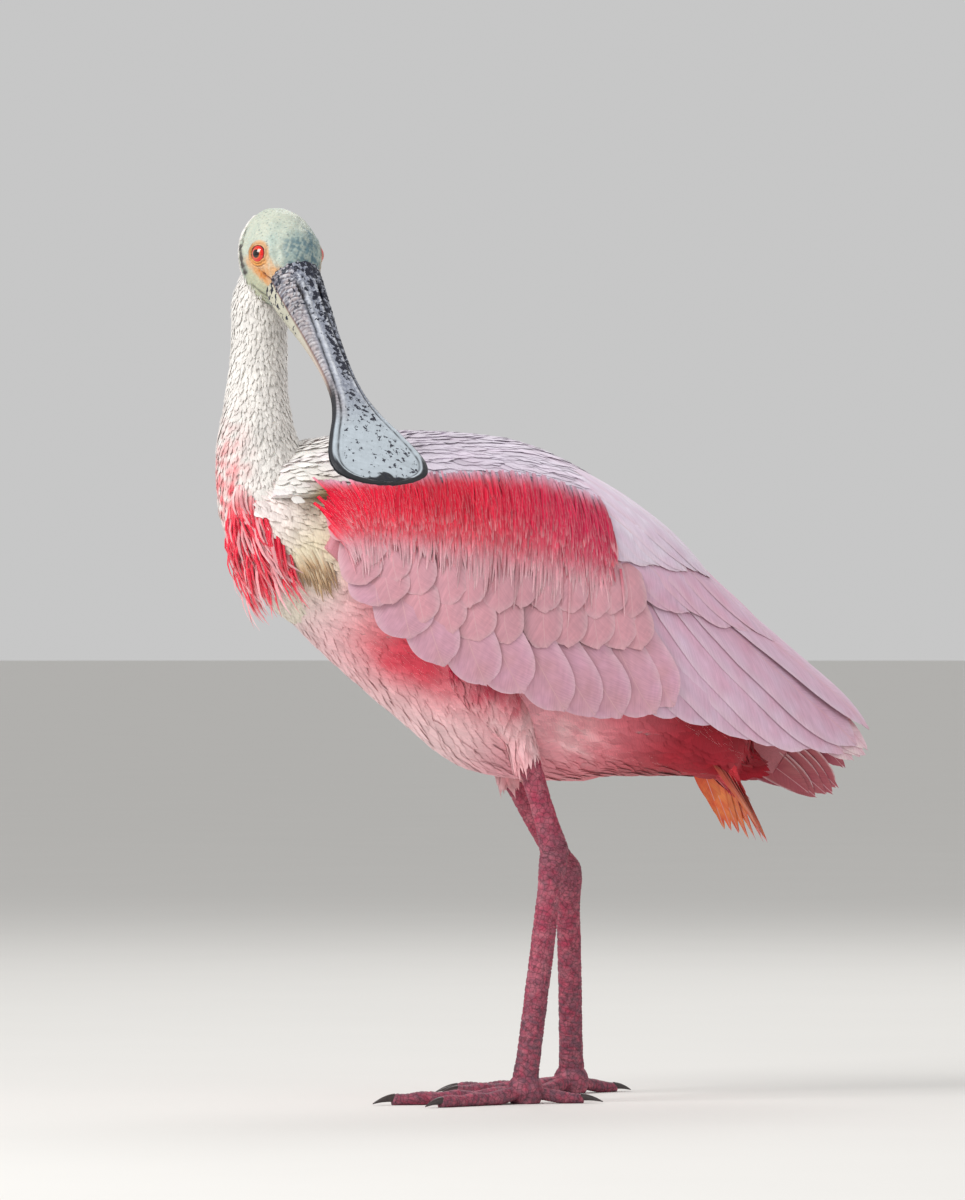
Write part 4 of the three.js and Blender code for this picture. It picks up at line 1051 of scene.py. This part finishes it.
def scatter(sheet, start, end, pitch_along, pitch, keep, seed):
    """Roots in staggered, slightly uneven rows over a sheet, where keep(points, p) holds."""
    draw = np.random.default_rng(seed)
    ring = np.linspace(0, 2 * np.pi, 73)
    found = []
    for row, p in enumerate(np.arange(start, end, pitch_along)):
        line = sheet(np.full(73, p), ring)
        along = np.concatenate([[0], np.cumsum(np.linalg.norm(np.diff(line, axis=0), axis=1))])
        count = max(6, int(along[-1] / pitch))
        at = (np.arange(count) + 0.5 * (row % 2) + draw.uniform(-0.35, 0.35, count)) / count * along[-1]
        angle = np.interp(np.mod(at, along[-1]), along, ring)
        found.append(np.stack([p + draw.uniform(-0.4, 0.4, count) * pitch_along, angle], -1))
    p, q = np.concatenate(found).T
    held = keep(sheet(p, q), p)
    return p[held], q[held]


def lying(sheet, p, q, way, length, lifts, uneven=0.25, seed=1):
    """Paths of feathers rooted at (p, q) of a sheet that lie along it towards way, rising by lifts."""
    here = sheet(p, q)
    by_p, by_q = (sheet(p + 0.01, q) - here) * 100, (sheet(p, q + 0.01) - here) * 100
    pp, pq, qq = (np.sum(a * b, -1) for a, b in ((by_p, by_p), (by_p, by_q), (by_q, by_q)))
    wp, wq = np.sum(by_p * way, -1), np.sum(by_q * way, -1)
    whole = pp * qq - pq * pq
    go_p, go_q = (qq * wp - pq * wq) / whole, (pp * wq - pq * wp) / whole
    size = np.linalg.norm(by_p * spread(go_p) + by_q * spread(go_q), axis=-1)
    go_p, go_q = go_p / size, go_q / size
    own = uneven * np.random.default_rng(seed).normal(size=len(p)).clip(-2, 2)

    def path(share):
        far = share * length[:, None, None]
        a, b = p[:, None, None] + go_p[:, None, None] * far, q[:, None, None] + go_q[:, None, None] * far
        lift = lifts[0] + (lifts[1] - lifts[0]) * np.minimum(1, share) ** 0.8 + own[:, None, None]
        at = sheet(a, b, lift)
        return at, unit(sheet(a, b, lift + 1.0) - at)

    return path


def unwrap(p, q, low, high):
    """Places on the flat unwrap of a sheet: its distance along and its angle."""
    return 0.02 + 0.96 * np.stack([(p - low) / (high - low), np.mod(q, 2 * np.pi) / 2 / np.pi], -1)


def feather_finish(name, quill_width, quill_tone, roughness, barb_pitch, barb_depth):
    """Feather keratin: matt, a little silky along the barbs, which lean out from a fine pale quill."""
    material, tree, shader = new_material(name, Roughness=roughness)
    shader.inputs["Specular IOR Level"].default_value = 0.22
    shader.inputs["Sheen Weight"].default_value = 0.25
    shader.inputs["Sheen Roughness"].default_value = 0.5
    marking = add(tree, "ShaderNodeAttribute", attribute_name="marking")
    vane = add(tree, "ShaderNodeUVMap", uv_map="vane")
    split = add(tree, "ShaderNodeSeparateXYZ", {"Vector": vane.outputs["UV"]})
    off_quill = add(tree, "ShaderNodeMath", {0: split.outputs["Y"]}, operation="ABSOLUTE")
    # The map holds tenths of a metre, so 0.01 of it is one millimetre. Barbs lean 40 degrees from the quill.
    lean = add(tree, "ShaderNodeMath", {0: off_quill.outputs["Value"], 1: -1.2, 2: split.outputs["X"]},
               operation="MULTIPLY_ADD")
    barb_line = add(tree, "ShaderNodeCombineXYZ", {"X": lean.outputs["Value"], "Y": split.outputs["Y"]})
    stretched = add(tree, "ShaderNodeVectorMath", {0: barb_line.outputs["Vector"], 1: (1.0, 0.16, 1.0)},
                    operation="MULTIPLY")
    barbs = add(tree, "ShaderNodeTexNoise",
                {"Vector": stretched.outputs["Vector"], "Scale": 100 / barb_pitch, "Detail": 2.0})
    shade = add(tree, "ShaderNodeMapRange",
                {"Value": barbs.outputs["Fac"], "From Min": 0.3, "From Max": 0.7, "To Min": 1 - barb_depth,
                 "To Max": 1 + barb_depth * 0.6})
    streaked = add(tree, "ShaderNodeVectorMath", {0: marking.outputs["Color"], 1: shade.outputs["Result"]},
                   operation="MULTIPLY")
    quill = add(tree, "ShaderNodeMapRange",
                {"Value": off_quill.outputs["Value"], "From Min": quill_width / 100 * 0.5,
                 "From Max": quill_width / 100, "To Min": 1.0, "To Max": 0.0})
    lined = add(tree, "ShaderNodeMix", {0: quill.outputs["Result"], 6: streaked.outputs["Vector"]},
                data_type="RGBA")
    lined.inputs[7].default_value = (*linear(quill_tone), 1)
    tree.links.new(lined.outputs[2], shader.inputs["Base Color"])
    bumped(tree, shader, barbs.outputs["Fac"], 0.35, 0.0003)
    return material


soft_feather = feather_finish("soft contour feather", 0.02, "#f0e2e0", 0.8, 0.9, 0.12)
hair_feather = feather_finish("loose hair-like feather", 0.02, "#f0e2e0", 0.7, 0.9, 0.18)
stiff_feather = feather_finish("stiff vaned feather", 0.24, "#d8a9b0", 0.66, 1.0, 0.1)


# Trunk, neck, nape and thighs: contour feathers, each with a loose barbed end, smallest at the nape, longest
# on the flanks and rump. They run down the neck and back along the body.
WING_EDGE = profile([[16, 6], [30, -2], [60, -12], [112, -14], [160, -10], [206, 0], [240, 12], [300, 30]])


def shown_trunk(points, s):
    _, h = body_place(points)
    return (s < 24) | (s > 236) | (h < WING_EDGE(s)[0] + 12)


def trunk_way(points):
    s, h = body_place(points)
    down = np.array([0, 0, -1.0]) * spread(0.25 + 0.5 * step(-s, -30, 10))
    return unit(BODY_ALONG + down)


# Each row: name, distances where it starts and ends, pitch of the roots.
TRUNK_COAT = [
    ("breast_feathers", -20, 70, 3.4), ("flank_feathers", 66, 170, 4.3), ("rump_feathers", 166, 298, 4.2),
]
for number, (name, start, end, pitch) in enumerate(TRUNK_COAT):
    p, q = scatter(trunk, start, end, pitch * 0.85, pitch, shown_trunk, 51 + 10 * number)
    roots = trunk(p, q)
    size = 9 + 11 * step(p, 0, 120) + 7 * step(p, 150, 230)
    draw = np.random.default_rng(52 + 10 * number)
    size = size * draw.uniform(0.85, 1.2, len(p))
    way = unit(trunk_way(roots) + 0.12 * draw.normal(size=roots.shape))
    made = leaves(lying(trunk, p, q, way, size, (-1.1, 0.4), 0.12), size * 0.28, size, 5, 5, 0.2, SOFT_SHAPE,
                  rounding=0.2, ragged=0.3, seed=53 + 10 * number)
    dress(name, made, paler_to_tip(trunk_colour, 0.97, 0.08),
          unwrap(p, q, -30, 310), soft_feather, "white_plumage")


def shown_neck(points, u):
    return (points[:, 2] > 290) | ((points[:, 0] < -143) & (points[:, 2] > 262))


p, q = scatter(neck, 0.02, 0.985, 0.0088, 2.0, shown_neck, 54)
roots = neck(p, q)
size = (6 + 8 * step(-p, -0.55, -0.2)) * np.random.default_rng(55).uniform(0.8, 1.3, len(p))
draw = np.random.default_rng(56)
way = unit(np.array([0.04, 0, -1]) + 0.16 * draw.normal(size=roots.shape))
made = leaves(lying(neck, p, q, way, size, (-0.8, 0.45), 0.2), 0.5 + size * 0.1, size, 4, 3, 0.22, SOFT_SHAPE,
              rounding=0.1, ragged=0.3, seed=57)
dress("neck_feathers", made, paler_to_tip(neck_colour, 0.95, 0.09),
      unwrap(p, q, 0, 1), soft_feather, "white_plumage", uneven=0.06)

# The longest feathers of the lower neck's sides hang over the front edge of each wing, buff and brown.
BUFF = linear("#c9a57c")
BROWN = linear("#7a5a42")
for number, (name, side) in enumerate((("left", -1), ("right", 1))):
    draw = np.random.default_rng(46 + number)
    count = 60
    p = draw.uniform(14, 29, count)
    q = side * (np.arccos(np.clip(-(4 + draw.uniform(0, 10, count)) / TRUNK(p)[1], -0.95, 0.5)))
    roots = trunk(p, q)
    size = draw.uniform(14, 25, count)
    way = unit(np.array([0.42, 0, -1.0]) + 0.12 * draw.normal(size=roots.shape))
    made = leaves(lying(trunk, p, q, way, size, (-0.3, 2.6), 0.4), draw.uniform(0.6, 1.1, count), size, 7, 3,
                  0.3, LOCK_SHAPE, rounding=0.0, seed=48 + number)

    def hanging_colour(at, facts):
        share = facts[:, 0]
        end = tint(BUFF + 0 * at, BROWN, 0.6 * step(share, 0.6, 1))
        return tint(CREAM + 0 * at, end, step(share, 0.2, 0.8))

    dress(f"hanging_feathers_{name}", made, hanging_colour, unwrap(p, q, -30, 310), soft_feather,
          "white_plumage", uneven=0.1)


def nape(points, f):
    _, _, u = head_place(points)
    return u < FEATHER_LINE(f)[0] - 0.4


p, q = scatter(skull, -26.5, 20, 1.5, 1.8, nape, 58)
roots = skull(p, q)
draw = np.random.default_rng(59)
size = draw.uniform(4.5, 7.5, len(p))
way = unit(np.array([0, 0, -1.0]) - 0.35 * HEAD_ALONG + 0.16 * draw.normal(size=roots.shape))
made = leaves(lying(skull, p, q, way, size, (-0.4, 0.7), 0.12), size * 0.15, size, 4, 3, 0.2, SOFT_SHAPE,
              rounding=0.3, ragged=0.35, seed=60)
dress("nape_feathers", made, paler_to_tip(neck_colour, 0.92, 0.14),
      unwrap(p, q, -28, 27), soft_feather, "white_plumage", uneven=0.06)

for number, (name, thigh) in enumerate(THIGHS.items()):
    p, q = scatter(thigh, 0.03, 1.0, 0.042, 3.4, lambda points, u: u < 1.1, 61 + number)
    roots = thigh(p, q)
    draw = np.random.default_rng(63 + number)
    size = (15 - 4 * step(p, 0.6, 1)) * draw.uniform(0.85, 1.2, len(p))
    way = unit(np.array([0.35, 0, -1.0]) + 0.13 * draw.normal(size=roots.shape))

    def open_ended(u, angle, lift=0.0, thigh=thigh):
        """The thigh's sheet, carried on past its lower end so that feathers hang free there."""
        past = np.maximum(u - 0.97, 0)
        drop = spread(past * 75) * np.array([0.28, 0, -1.0])
        return thigh(np.minimum(u, 0.97), angle, lift) + drop

    made = leaves(lying(open_ended, p, q, way, size, (-1.0, 0.8)), size * 0.2, size, 5, 5, 0.2, SOFT_SHAPE,
                  rounding=0.25, ragged=0.3, seed=65 + number)
    dress(f"thigh_feathers_{name}", made, paler_to_tip(thigh_colour, 0.92, 0.14), unwrap(p, q, 0, 1),
          soft_feather, "pink_plumage")


# The wings, folded over the trunk: a pad of flesh and feather bases, then tiers of vaned feathers from the
# long primaries out to the scapulars. A tier's roots and tips are lines of [distance, height] on the trunk.
CLOAK = profile([
    [-10, 34, 32], [0, 46, 41], [30, 66, 53], [60, 82, 60], [112, 101, 66], [160, 102, 66], [206, 94, 60],
    [240, 83, 53], [271, 75, 45], [308, 64, 35], [343, 55, 24], [367, 46, 15], [390, 38, 8],
])
CLOAK_DEPTH = 60
RIGHT_DROOP = np.radians(4.5)
DROOP_PIVOT = body_point(60.0, 0.0, 30.0)


def drooped(p, share):
    """The far wing hangs a little lower: points turned about the shoulder by a share of that."""
    x, z = p[..., 0] - DROOP_PIVOT[0], p[..., 2] - DROOP_PIVOT[2]
    c, s = np.cos(RIGHT_DROOP * share), np.sin(RIGHT_DROOP * share)
    return np.stack([DROOP_PIVOT[0] + x * c + z * s, p[..., 1], DROOP_PIVOT[2] - x * s + z * c], -1)


def cloak(side, s, angle, lift):
    rise, half = CLOAK(s)
    height = np.where(np.cos(angle) > 0, rise, CLOAK_DEPTH)
    p = body_point(s, side * (half + lift) * np.sin(angle), (height + lift) * np.cos(angle))
    return drooped(p, 1.0) if side > 0 else p


def cloak_angle(s, h):
    return np.arccos(np.clip(np.where(h > 0, h / CLOAK(s)[0], h / CLOAK_DEPTH), -0.99, 0.995))


def back_sheet(s, angle, lift=0.0):
    """The cloak of both wings as one sheet, with the angle from the ridge of the back."""
    rise, half = CLOAK(s)
    p = body_point(s, (half + lift) * np.sin(angle), (rise + lift) * np.cos(angle))
    return drooped(p, step(p[..., 1], 0, 30))


# Distance, height of the pad's upper edge, height of its lower edge, thickness.
WING_PAD = profile([
    [16, 26, 2, 16], [30, 42, -6, 20], [60, 62, -16, 22], [112, 86, -18, 22], [160, 94, -14, 22],
    [206, 88, -4, 18], [240, 79, 8, 14], [271, 71, 18, 9], [308, 61, 24, 6], [335, 52, 30, 4],
])


def wing_pad(side):
    def point(s, angle):
        upper, lower, thick = WING_PAD(s)
        turn = np.mod(angle / (2 * np.pi), 1)
        outer = turn < 0.5
        across = np.where(outer, turn * 2, 2 - turn * 2)
        share = np.clip(across * 1.2 - 0.1, 0, 1)
        upper_angle, lower_angle = cloak_angle(s, upper), cloak_angle(s, lower)
        sunk = np.where((across < 0.02) | (across > 0.98), -thick / 2 - 1, np.where(outer, -2.6, -thick + 1))
        return cloak(side, s, upper_angle + (lower_angle - upper_angle) * share, sunk)

    return tube(point, np.linspace(27, 330, 116), 80)


TIERS = {
    "primary": {"roots": [[256, 42], [256, 54]], "tips": [[354, 27], [366, 37]], "count": 5, "half": 9,
                "lift": (-7, -2.4), "rise": 0.4, "tilt": -0.1, "length": 110},
    "tertial": {"roots": [[176, 30], [184, 44], [194, 56], [206, 66], [216, 74]],
                "tips": [[250, 5], [288, 13], [320, 19], [350, 29], [361, 45]], "count": 8, "half": 16,
                "lift": (-4.5, -1.4), "rise": 0.5, "tilt": -0.09, "length": 120},
    "greater": {"roots": [[44, 12], [70, 20], [108, 26], [146, 36], [180, 44]],
                "tips": [[60, -21], [118, -33], [170, -27], [212, -17], [240, 4]], "count": 10, "half": 15.5,
                "lift": (-4, 1.2), "rise": 0, "tilt": 0.1, "length": 58},
    "median_low": {"roots": [[34, 12], [70, 26], [112, 40], [150, 52], [178, 58]],
                   "tips": [[52, -13], [98, -17], [136, -9], [174, 8], [208, 20]], "count": 11, "half": 12,
                   "lift": (-3, 2.2), "rise": 0, "tilt": 0.1, "length": 46},
    "median_high": {"roots": [[32, 20], [66, 38], [108, 54], [146, 66], [176, 72]],
                    "tips": [[50, -4], [92, -4], [128, 6], [162, 20], [196, 33]], "count": 12, "half": 10.5,
                    "lift": (-2.4, 2.9), "rise": 0, "tilt": 0.1, "length": 42},
    "lesser": {"roots": [[20, 24], [50, 46], [85, 65], [120, 79], [152, 86]],
               "tips": [[31, 4], [62, 18], [100, 29], [134, 38], [170, 49]], "count": 14, "half": 9,
               "lift": (-2.0, 3.1), "rise": 0, "tilt": 0.08, "length": 42},
    "scapular_low": {"roots": [[150, 78], [150, 88], [150, 97]], "tips": [[218, 52], [252, 57], [288, 62]],
                     "count": 6, "half": 13, "lift": (-2, 0.4), "rise": 0.3, "tilt": -0.05, "length": 100},
    "scapular_high": {"roots": [[128, 84], [132, 93], [136, 100]], "tips": [[186, 62], [214, 72], [240, 78]],
                      "count": 7, "half": 12, "lift": (-1.6, 1.4), "rise": 0.3, "tilt": -0.05, "length": 84},
}


def line_of(points):
    return profile([[k / (len(points) - 1), *point] for k, point in enumerate(points)])


def tier_leaves(side, tier, seed):
    draw = np.random.default_rng(seed)
    count = tier["count"]
    share = (np.arange(count) + draw.uniform(-0.14, 0.14, count)) / (count - 1)
    root_s, root_h = line_of(tier["roots"])(share)
    tip_s, tip_h = line_of(tier["tips"])(share)
    tip_s, tip_h = tip_s + draw.uniform(-2.5, 2.5, count), tip_h + draw.uniform(-2, 2, count)
    start, end = cloak_angle(root_s, root_h), cloak_angle(tip_s, tip_h)
    order = tier["rise"] * np.arange(count)

    def path(u):
        s = root_s[:, None, None] + (tip_s - root_s)[:, None, None] * u
        angle = start[:, None, None] + (end - start)[:, None, None] * u * (1.25 - 0.25 * u)
        low, high = tier["lift"]
        lift = low + (high - low) * np.minimum(1, u * 1.6) + order[:, None, None]
        at = cloak(side, s, angle, lift)
        out = np.cross(cloak(side, s, angle + 0.02, lift) - at, cloak(side, s + 1, angle, lift) - at)
        return at, unit(-out * side)

    half = tier["half"] * draw.uniform(0.92, 1.08, count)
    length = tier["length"] * np.ones(count)
    return leaves(path, half, length, 24, 13, 0.55, WIDE_SHAPE, camber=0.1, tilt=-side * tier["tilt"],
                  rounding=0.03, ragged=0.03, seed=seed)


FLIGHT_PINK = linear("#d7a3ba")
DUSTY_PINK = linear("#cf9aa6")
WARM_PINK = linear("#d99ba6")
LAVENDER = linear("#d9bcd2")
MANTLE = linear("#e3d8e6")
EDGE_PINK = linear("#ecd3d6")
CRIMSON = linear("#e00a34")
MAGENTA = linear("#b8124a")
TIER_COLOURS = {
    "primary": (FLIGHT_PINK, EDGE_PINK), "tertial": (FLIGHT_PINK, LAVENDER),
    "greater": (DUSTY_PINK, FLIGHT_PINK), "median_low": (WARM_PINK, DUSTY_PINK),
    "median_high": (WARM_PINK, DUSTY_PINK), "lesser": (CRIMSON, WARM_PINK),
    "scapular_low": (LAVENDER, FLIGHT_PINK), "scapular_high": (MANTLE, LAVENDER),
}


def tier_colour(name):
    inner, outer = TIER_COLOURS[name]

    def colour(at, facts):
        share, v, along, across, number, under = facts.T
        made = tint(inner + 0 * at, outer, np.clip(0.25 + 0.55 * np.abs(v) + 0.3 * ripple(at, 12, 71), 0, 1))
        made = tint(made, EDGE_PINK, step(np.abs(v), 0.7, 1.0) * 0.28 + 0.2 * step(share, 0.85, 1))
        streak = np.sin(along * 0.9 - np.abs(across) * 1.4 + 3 * ripple(at, 9, 72))
        made = made * spread(1 + 0.045 * streak)
        # The under sheet of each feather takes dark red: the wing's own red underside, darkened further as
        # painted shade.
        return tint(made, RUMP_RED, under * 0.75)

    return colour


def cells(count):
    """One square of the bake map for each feather of a tier, in a row by its place along the wing."""
    return np.stack([(np.arange(count) + 0.5) / count, np.full(count, 0.5)], -1)


for side, name in ((-1, "left"), (1, "right")):
    points, faces = wing_pad(side)
    pad_colour = tint(WARM_PINK, RUMP_RED, 0.3) + 0 * points
    pad = object_of(f"wing_pad_{name}", points, faces, bare_skin, marking=pad_colour)
    fit(pad, "pink_plumage", f"wing_{name}")
    for row, (tier_name, tier) in enumerate(TIERS.items()):
        made = tier_leaves(side, tier, 80 + row)
        dress(f"{tier_name}_{name}", made, tier_colour(tier_name), cells(tier["count"]), stiff_feather,
              "pink_plumage", patch=0.9 / tier["count"], uneven=0.03)

# The shoulder patch: loose hair-like strands of crimson over the lesser coverts, pink at their ends.
SHOULDER_TOP = line_of([[14, 27], [50, 47], [85, 66], [120, 80], [156, 85]])
SHOULDER_LOW = line_of([[31, -3], [62, 10], [100, 21], [134, 30], [174, 42]])


def shoulder(side, count, seed):
    draw = np.random.default_rng(seed)
    a = draw.uniform(-0.01, 1.0, count)
    a = a - (a < 0.06) * draw.exponential(0.012, count) + (a > 0.9) * draw.exponential(0.012, count)
    t = draw.uniform(-0.06, 0.74, count)
    span = draw.uniform(0.3, 0.46, count) * (1 + 0.3 * draw.normal(size=count).clip(-1, 1.8) * (t > 0.45))
    lean = draw.normal(size=count) * 0.010 + 0.012 + 0.05 * np.exp(-a / 0.06)
    span = span * (1 + 0.2 * np.sin(75 * a + 2.5 * np.sin(29 * a)) * (t > 0.4))
    layer = draw.uniform(0, 1, count)

    def path(u):
        along = a[:, None, None] + lean[:, None, None] * u
        down = t[:, None, None] + span[:, None, None] * u
        top_s, top_h = SHOULDER_TOP(np.clip(along, 0, 1))
        low_s, low_h = SHOULDER_LOW(np.clip(along, 0, 1))
        past = (along - np.clip(along, 0, 1)) * 150
        s, h = top_s + (low_s - top_s) * down + past, top_h + (low_h - top_h) * down
        lift = 1.6 + 1.4 * layer[:, None, None] + 1.3 * np.sin(np.minimum(u, 1) * 2.4) - 0.4 * u
        at = cloak(side, s, cloak_angle(s, h), lift)
        return at, unit(cloak(side, s, cloak_angle(s, h), lift + 1) - at)

    half = draw.uniform(0.7, 1.5, count)
    made = leaves(path, half, 50 * span, 6, 3, 0.35, LOCK_SHAPE, rounding=0.0, seed=seed)
    root_place = np.stack([0.05 + 0.9 * np.clip(a, 0, 1), 0.1 + 0.8 * np.clip(t, 0, 1)], -1)

    def colour(at, facts):
        share, number = facts[:, 0], facts[:, 4].astype(int)
        down = t[number] + span[number] * share
        made = tint(CRIMSON + 0 * at, MAGENTA, step(a[number], 0.35, 1.0) * 0.75)
        pale = np.clip(step(down, 0.62, 1.08) + 0.3 * (layer[number] - 0.5) * step(down, 0.4, 0.7), 0, 1)
        made = tint(made, WARM_PINK, pale)
        lit = step(share, 0.6, 1.0) * 0.4 * (layer[number] > 0.62) * step(down, 0.3, 0.6)
        made = tint(made, EDGE_PINK, lit)
        return tint(made, LAVENDER, step(-down, -0.12, 0.04) * 0.75)

    return made, colour, root_place


for side, name in ((-1, "left"), (1, "right")):
    made, colour, root_place = shoulder(side, 3000, 95 + side)
    dress(f"shoulder_strands_{name}", made, colour, root_place, hair_feather, "pink_plumage", uneven=0.12)

# The mantle: soft lavender-white feathers over the back, from the root of the neck to the scapulars.
mantle_rows = profile([[-10, 12], [14, 25], [50, 45], [85, 63], [120, 77], [156, 83], [215, 80], [240, 78]])


def on_mantle(points, s):
    _, h = body_place(points)
    return h > mantle_rows(s)[0] - 1 + 5 * ripple(points, 9, 98)


p, q = scatter(back_sheet, -8, 206, 3.9, 4.6, on_mantle, 97)
roots = back_sheet(p, q)
draw = np.random.default_rng(99)
size = (9 + 17 * step(p, 0, 130)) * draw.uniform(0.85, 1.2, len(p))
way = unit(BODY_ALONG + SIDEWAYS * spread(0.28 * np.sin(q)) + 0.07 * draw.normal(size=roots.shape))
made = leaves(lying(back_sheet, p, q, way, size, (-0.9, 0.9), 0.12), size * 0.27, size, 5, 7, 0.15,
              SOFT_SHAPE, rounding=0.25, ragged=0.2, seed=100)


def mantle_colour(at, facts):
    s, _ = body_place(at)
    made = tint(WHITE + 0 * at, MANTLE, step(s, 0, 60))
    made = tint(made, LAVENDER, np.clip(step(s, 90, 220) * 0.8 + 0.25 * ripple(at, 14, 101), 0, 1))
    _, h = body_place(at)
    # Painted shade: the real buff patch at the root of the neck, painted darker olive for the shade it lies
    # in.
    shaded_buff_patch = np.exp(-(((s - 17) / 9) ** 2) - ((h - 21) / 10) ** 2) * step(np.abs(at[:, 1]), 22, 34)
    made = tint(made, SHADED_BUFF, np.clip(shaded_buff_patch * 1.1, 0, 0.9))
    return made * spread(0.93 + 0.12 * facts[:, 0])


dress("mantle_feathers", made, mantle_colour, unwrap(p, q, -20, 240), soft_feather, "pink_plumage")


def mantle_pad(s, angle):
    """The flesh and feather bases under the mantle: a shell just inside the sheet of the back."""
    limit = cloak_angle(s, mantle_rows(s)[0] - 3)
    return back_sheet(s, limit * np.sin(angle), np.where(np.cos(angle) > 0, -1.0, -6.0))


points, faces = tube(mantle_pad, np.linspace(-7, 212, 90), 64)
pad_colour = mantle_colour(points, np.full((len(points), 6), 0.3))
pad = object_of("mantle_pad", points, faces, bare_skin, marking=pad_colour)
fit(pad, "pink_plumage")


# The tail: twelve stiff orange-buff feathers in a shallow fan, their roots under soft red coverts.
TAIL_SLOPE = np.radians(57)
TAIL_ALONG = np.array([np.cos(TAIL_SLOPE), 0, -np.sin(TAIL_SLOPE)])
TAIL_RISE = np.array([np.sin(TAIL_SLOPE), 0, np.cos(TAIL_SLOPE)])
TAIL_ROOT = body_point(244.0, 0.0, 24.0)
TAIL_FEATHERS = 12
TAIL_COVERTS = profile([
    [0, 22, 22, 22], [20, 19, 20, 22], [40, 11, 14, 20], [58, 5, 7, 15], [72, 1.6, 2.4, 7],
])
TAIL_BUFF = linear("#f08c48")
TAIL_ORANGE = linear("#e2482e")
COVERT_RED = linear("#d2323c")


def tail_point(s, y, h):
    return TAIL_ROOT + spread(s) * TAIL_ALONG + spread(y) * SIDEWAYS + spread(h) * TAIL_RISE


def tail_sheet(s, angle, lift=0.0):
    rise, depth, half = TAIL_COVERTS(s)
    height = np.where(np.cos(angle) > 0, rise, depth) + lift
    return tail_point(s, (half + lift) * np.sin(angle), height * np.cos(angle))


index = np.arange(TAIL_FEATHERS)
fan_side = np.where(index % 2 == 1, 1, -1)
rank = index // 2
fan = fan_side * (rank + 0.5) * np.radians(3.1)
tail_length = 108 - rank * 1.6


def tail_path(u):
    turn, long, out_side, place = (x[:, None, None] for x in (fan, tail_length, fan_side, rank))
    y = long * u * np.sin(turn) + out_side * 1.5
    height = 3 - place * 1.6 - 5 * u * u + 0.8 * (out_side > 0)
    at = tail_point(20 + (long * np.cos(turn) - 20) * u, y, height)
    out = unit(TAIL_RISE + SIDEWAYS * spread(out_side * 0.1 * place + 0 * u))
    return at, out


def tail_colour(at, facts):
    share, v = facts[:, 0], facts[:, 1]
    made = tint(COVERT_RED + 0 * at, TAIL_ORANGE, step(share, 0.05, 0.4))
    made = tint(made, TAIL_BUFF, np.clip(step(share, 0.3, 0.8) * (0.55 + 0.5 * ripple(at, 6, 111)), 0, 1))
    return tint(made, COVERT_RED, step(np.abs(v), 0.6, 1.0) * 0.35)


made = leaves(tail_path, 8.0 * np.ones(TAIL_FEATHERS), tail_length, 24, 13, 0.5, WIDE_SHAPE, camber=0.08,
              rounding=0.2, ragged=0.05, seed=112)
dress("tail_feathers", made, tail_colour, cells(TAIL_FEATHERS), stiff_feather, "rump_plumage", "tail",
      patch=0.9 / TAIL_FEATHERS, uneven=0.05)

p, q = scatter(tail_sheet, 0, 66, 3.6, 3.8, lambda points, s: s > -1, 113)
roots = tail_sheet(p, q)
draw = np.random.default_rng(114)
size = draw.uniform(17, 30, len(p)) * (1 - 0.35 * step(p, 30, 66))
way = unit(TAIL_ALONG + 0.1 * draw.normal(size=roots.shape))
made = leaves(lying(tail_sheet, p, q, way, size, (-1.5, 1.2)), size * 0.15, size, 5, 5, 0.35, SOFT_SHAPE,
              rounding=0.15, ragged=0.4, seed=115)


def covert_colour(at, facts):
    made = tint(COVERT_RED + 0 * at, RUMP_RED, np.clip(0.5 + ripple(at, 10, 116), 0, 1) * 0.8)
    return tint(made, SALMON, step(facts[:, 0], 0.4, 1) * 0.45)


dress("tail_coverts", made, covert_colour, unwrap(p, q, -5, 75), hair_feather, "rump_plumage", uneven=0.1)
points, faces = tube(lambda s, a: tail_sheet(s, a, -1.5), np.linspace(-10, 68, 30), 40)
tail_core = object_of("tail_core", points, faces, bare_skin, marking=RUMP_RED + 0 * points)
fit(tail_core, "rump_plumage")


# The plume of the lower foreneck: loose scarlet strands with pale ends, hanging from the neck.
draw = np.random.default_rng(121)
STRANDS = 430
root_u = draw.uniform(0.23, 0.43, STRANDS)
bearing = np.radians(42 + 34 * draw.uniform(-1, 1, STRANDS) * step(0.47 - root_u, 0, 0.16))
drop = draw.uniform(15, 32, STRANDS)
flare = draw.uniform(0.3, 1.1, STRANDS)
sway = 4.5 * np.sin(9 * bearing + 17 * root_u) + 2.0 * draw.normal(size=STRANDS)


def plume_path(u):
    b, fall, wide, aside = (x[:, None, None] for x in (bearing, drop, flare, sway))
    out = np.stack([-np.cos(bearing), -np.sin(bearing), 0 * bearing], -1)[:, None, None, :]
    root = neck(root_u, np.pi + bearing, 0.3)[:, None, None, :]
    side_way = np.cross(np.array([0, 0, 1.0]), out)
    at = root + out * spread(wide * (10 * np.sin(1.5 * u) - 6 * u * u))
    at = at + side_way * spread(aside * u * u)
    at = at + np.stack(np.broadcast_arrays(u * u * 8, 0 * u, -fall * u), -1)
    return at, unit(out + np.array([0, 0, 0.3]) + 0 * at)


def plume_colour(at, facts):
    share = facts[:, 0]
    lit = np.random.default_rng(122).uniform(0, 1, STRANDS)[facts[:, 4].astype(int)]
    pale = np.clip(step(share, 0.6, 1.0) * 0.5 + (lit > 0.6) * 0.55, 0, 1)
    made = tint(PLUME_RED + 0 * at, PALE_PINK, pale)
    return tint(made, WHITE, step(at[:, 2], 312, 334) * 0.75 * (lit < 0.7))


made = leaves(plume_path, draw.uniform(0.5, 1.2, STRANDS), drop, 7, 3, 0.3, LOCK_SHAPE, rounding=0.0,
              seed=123)
dress("plume_strands", made, plume_colour, np.stack([root_u * 2, bearing / 6 + 0.5], -1), hair_feather,
      "white_plumage", uneven=0.1)
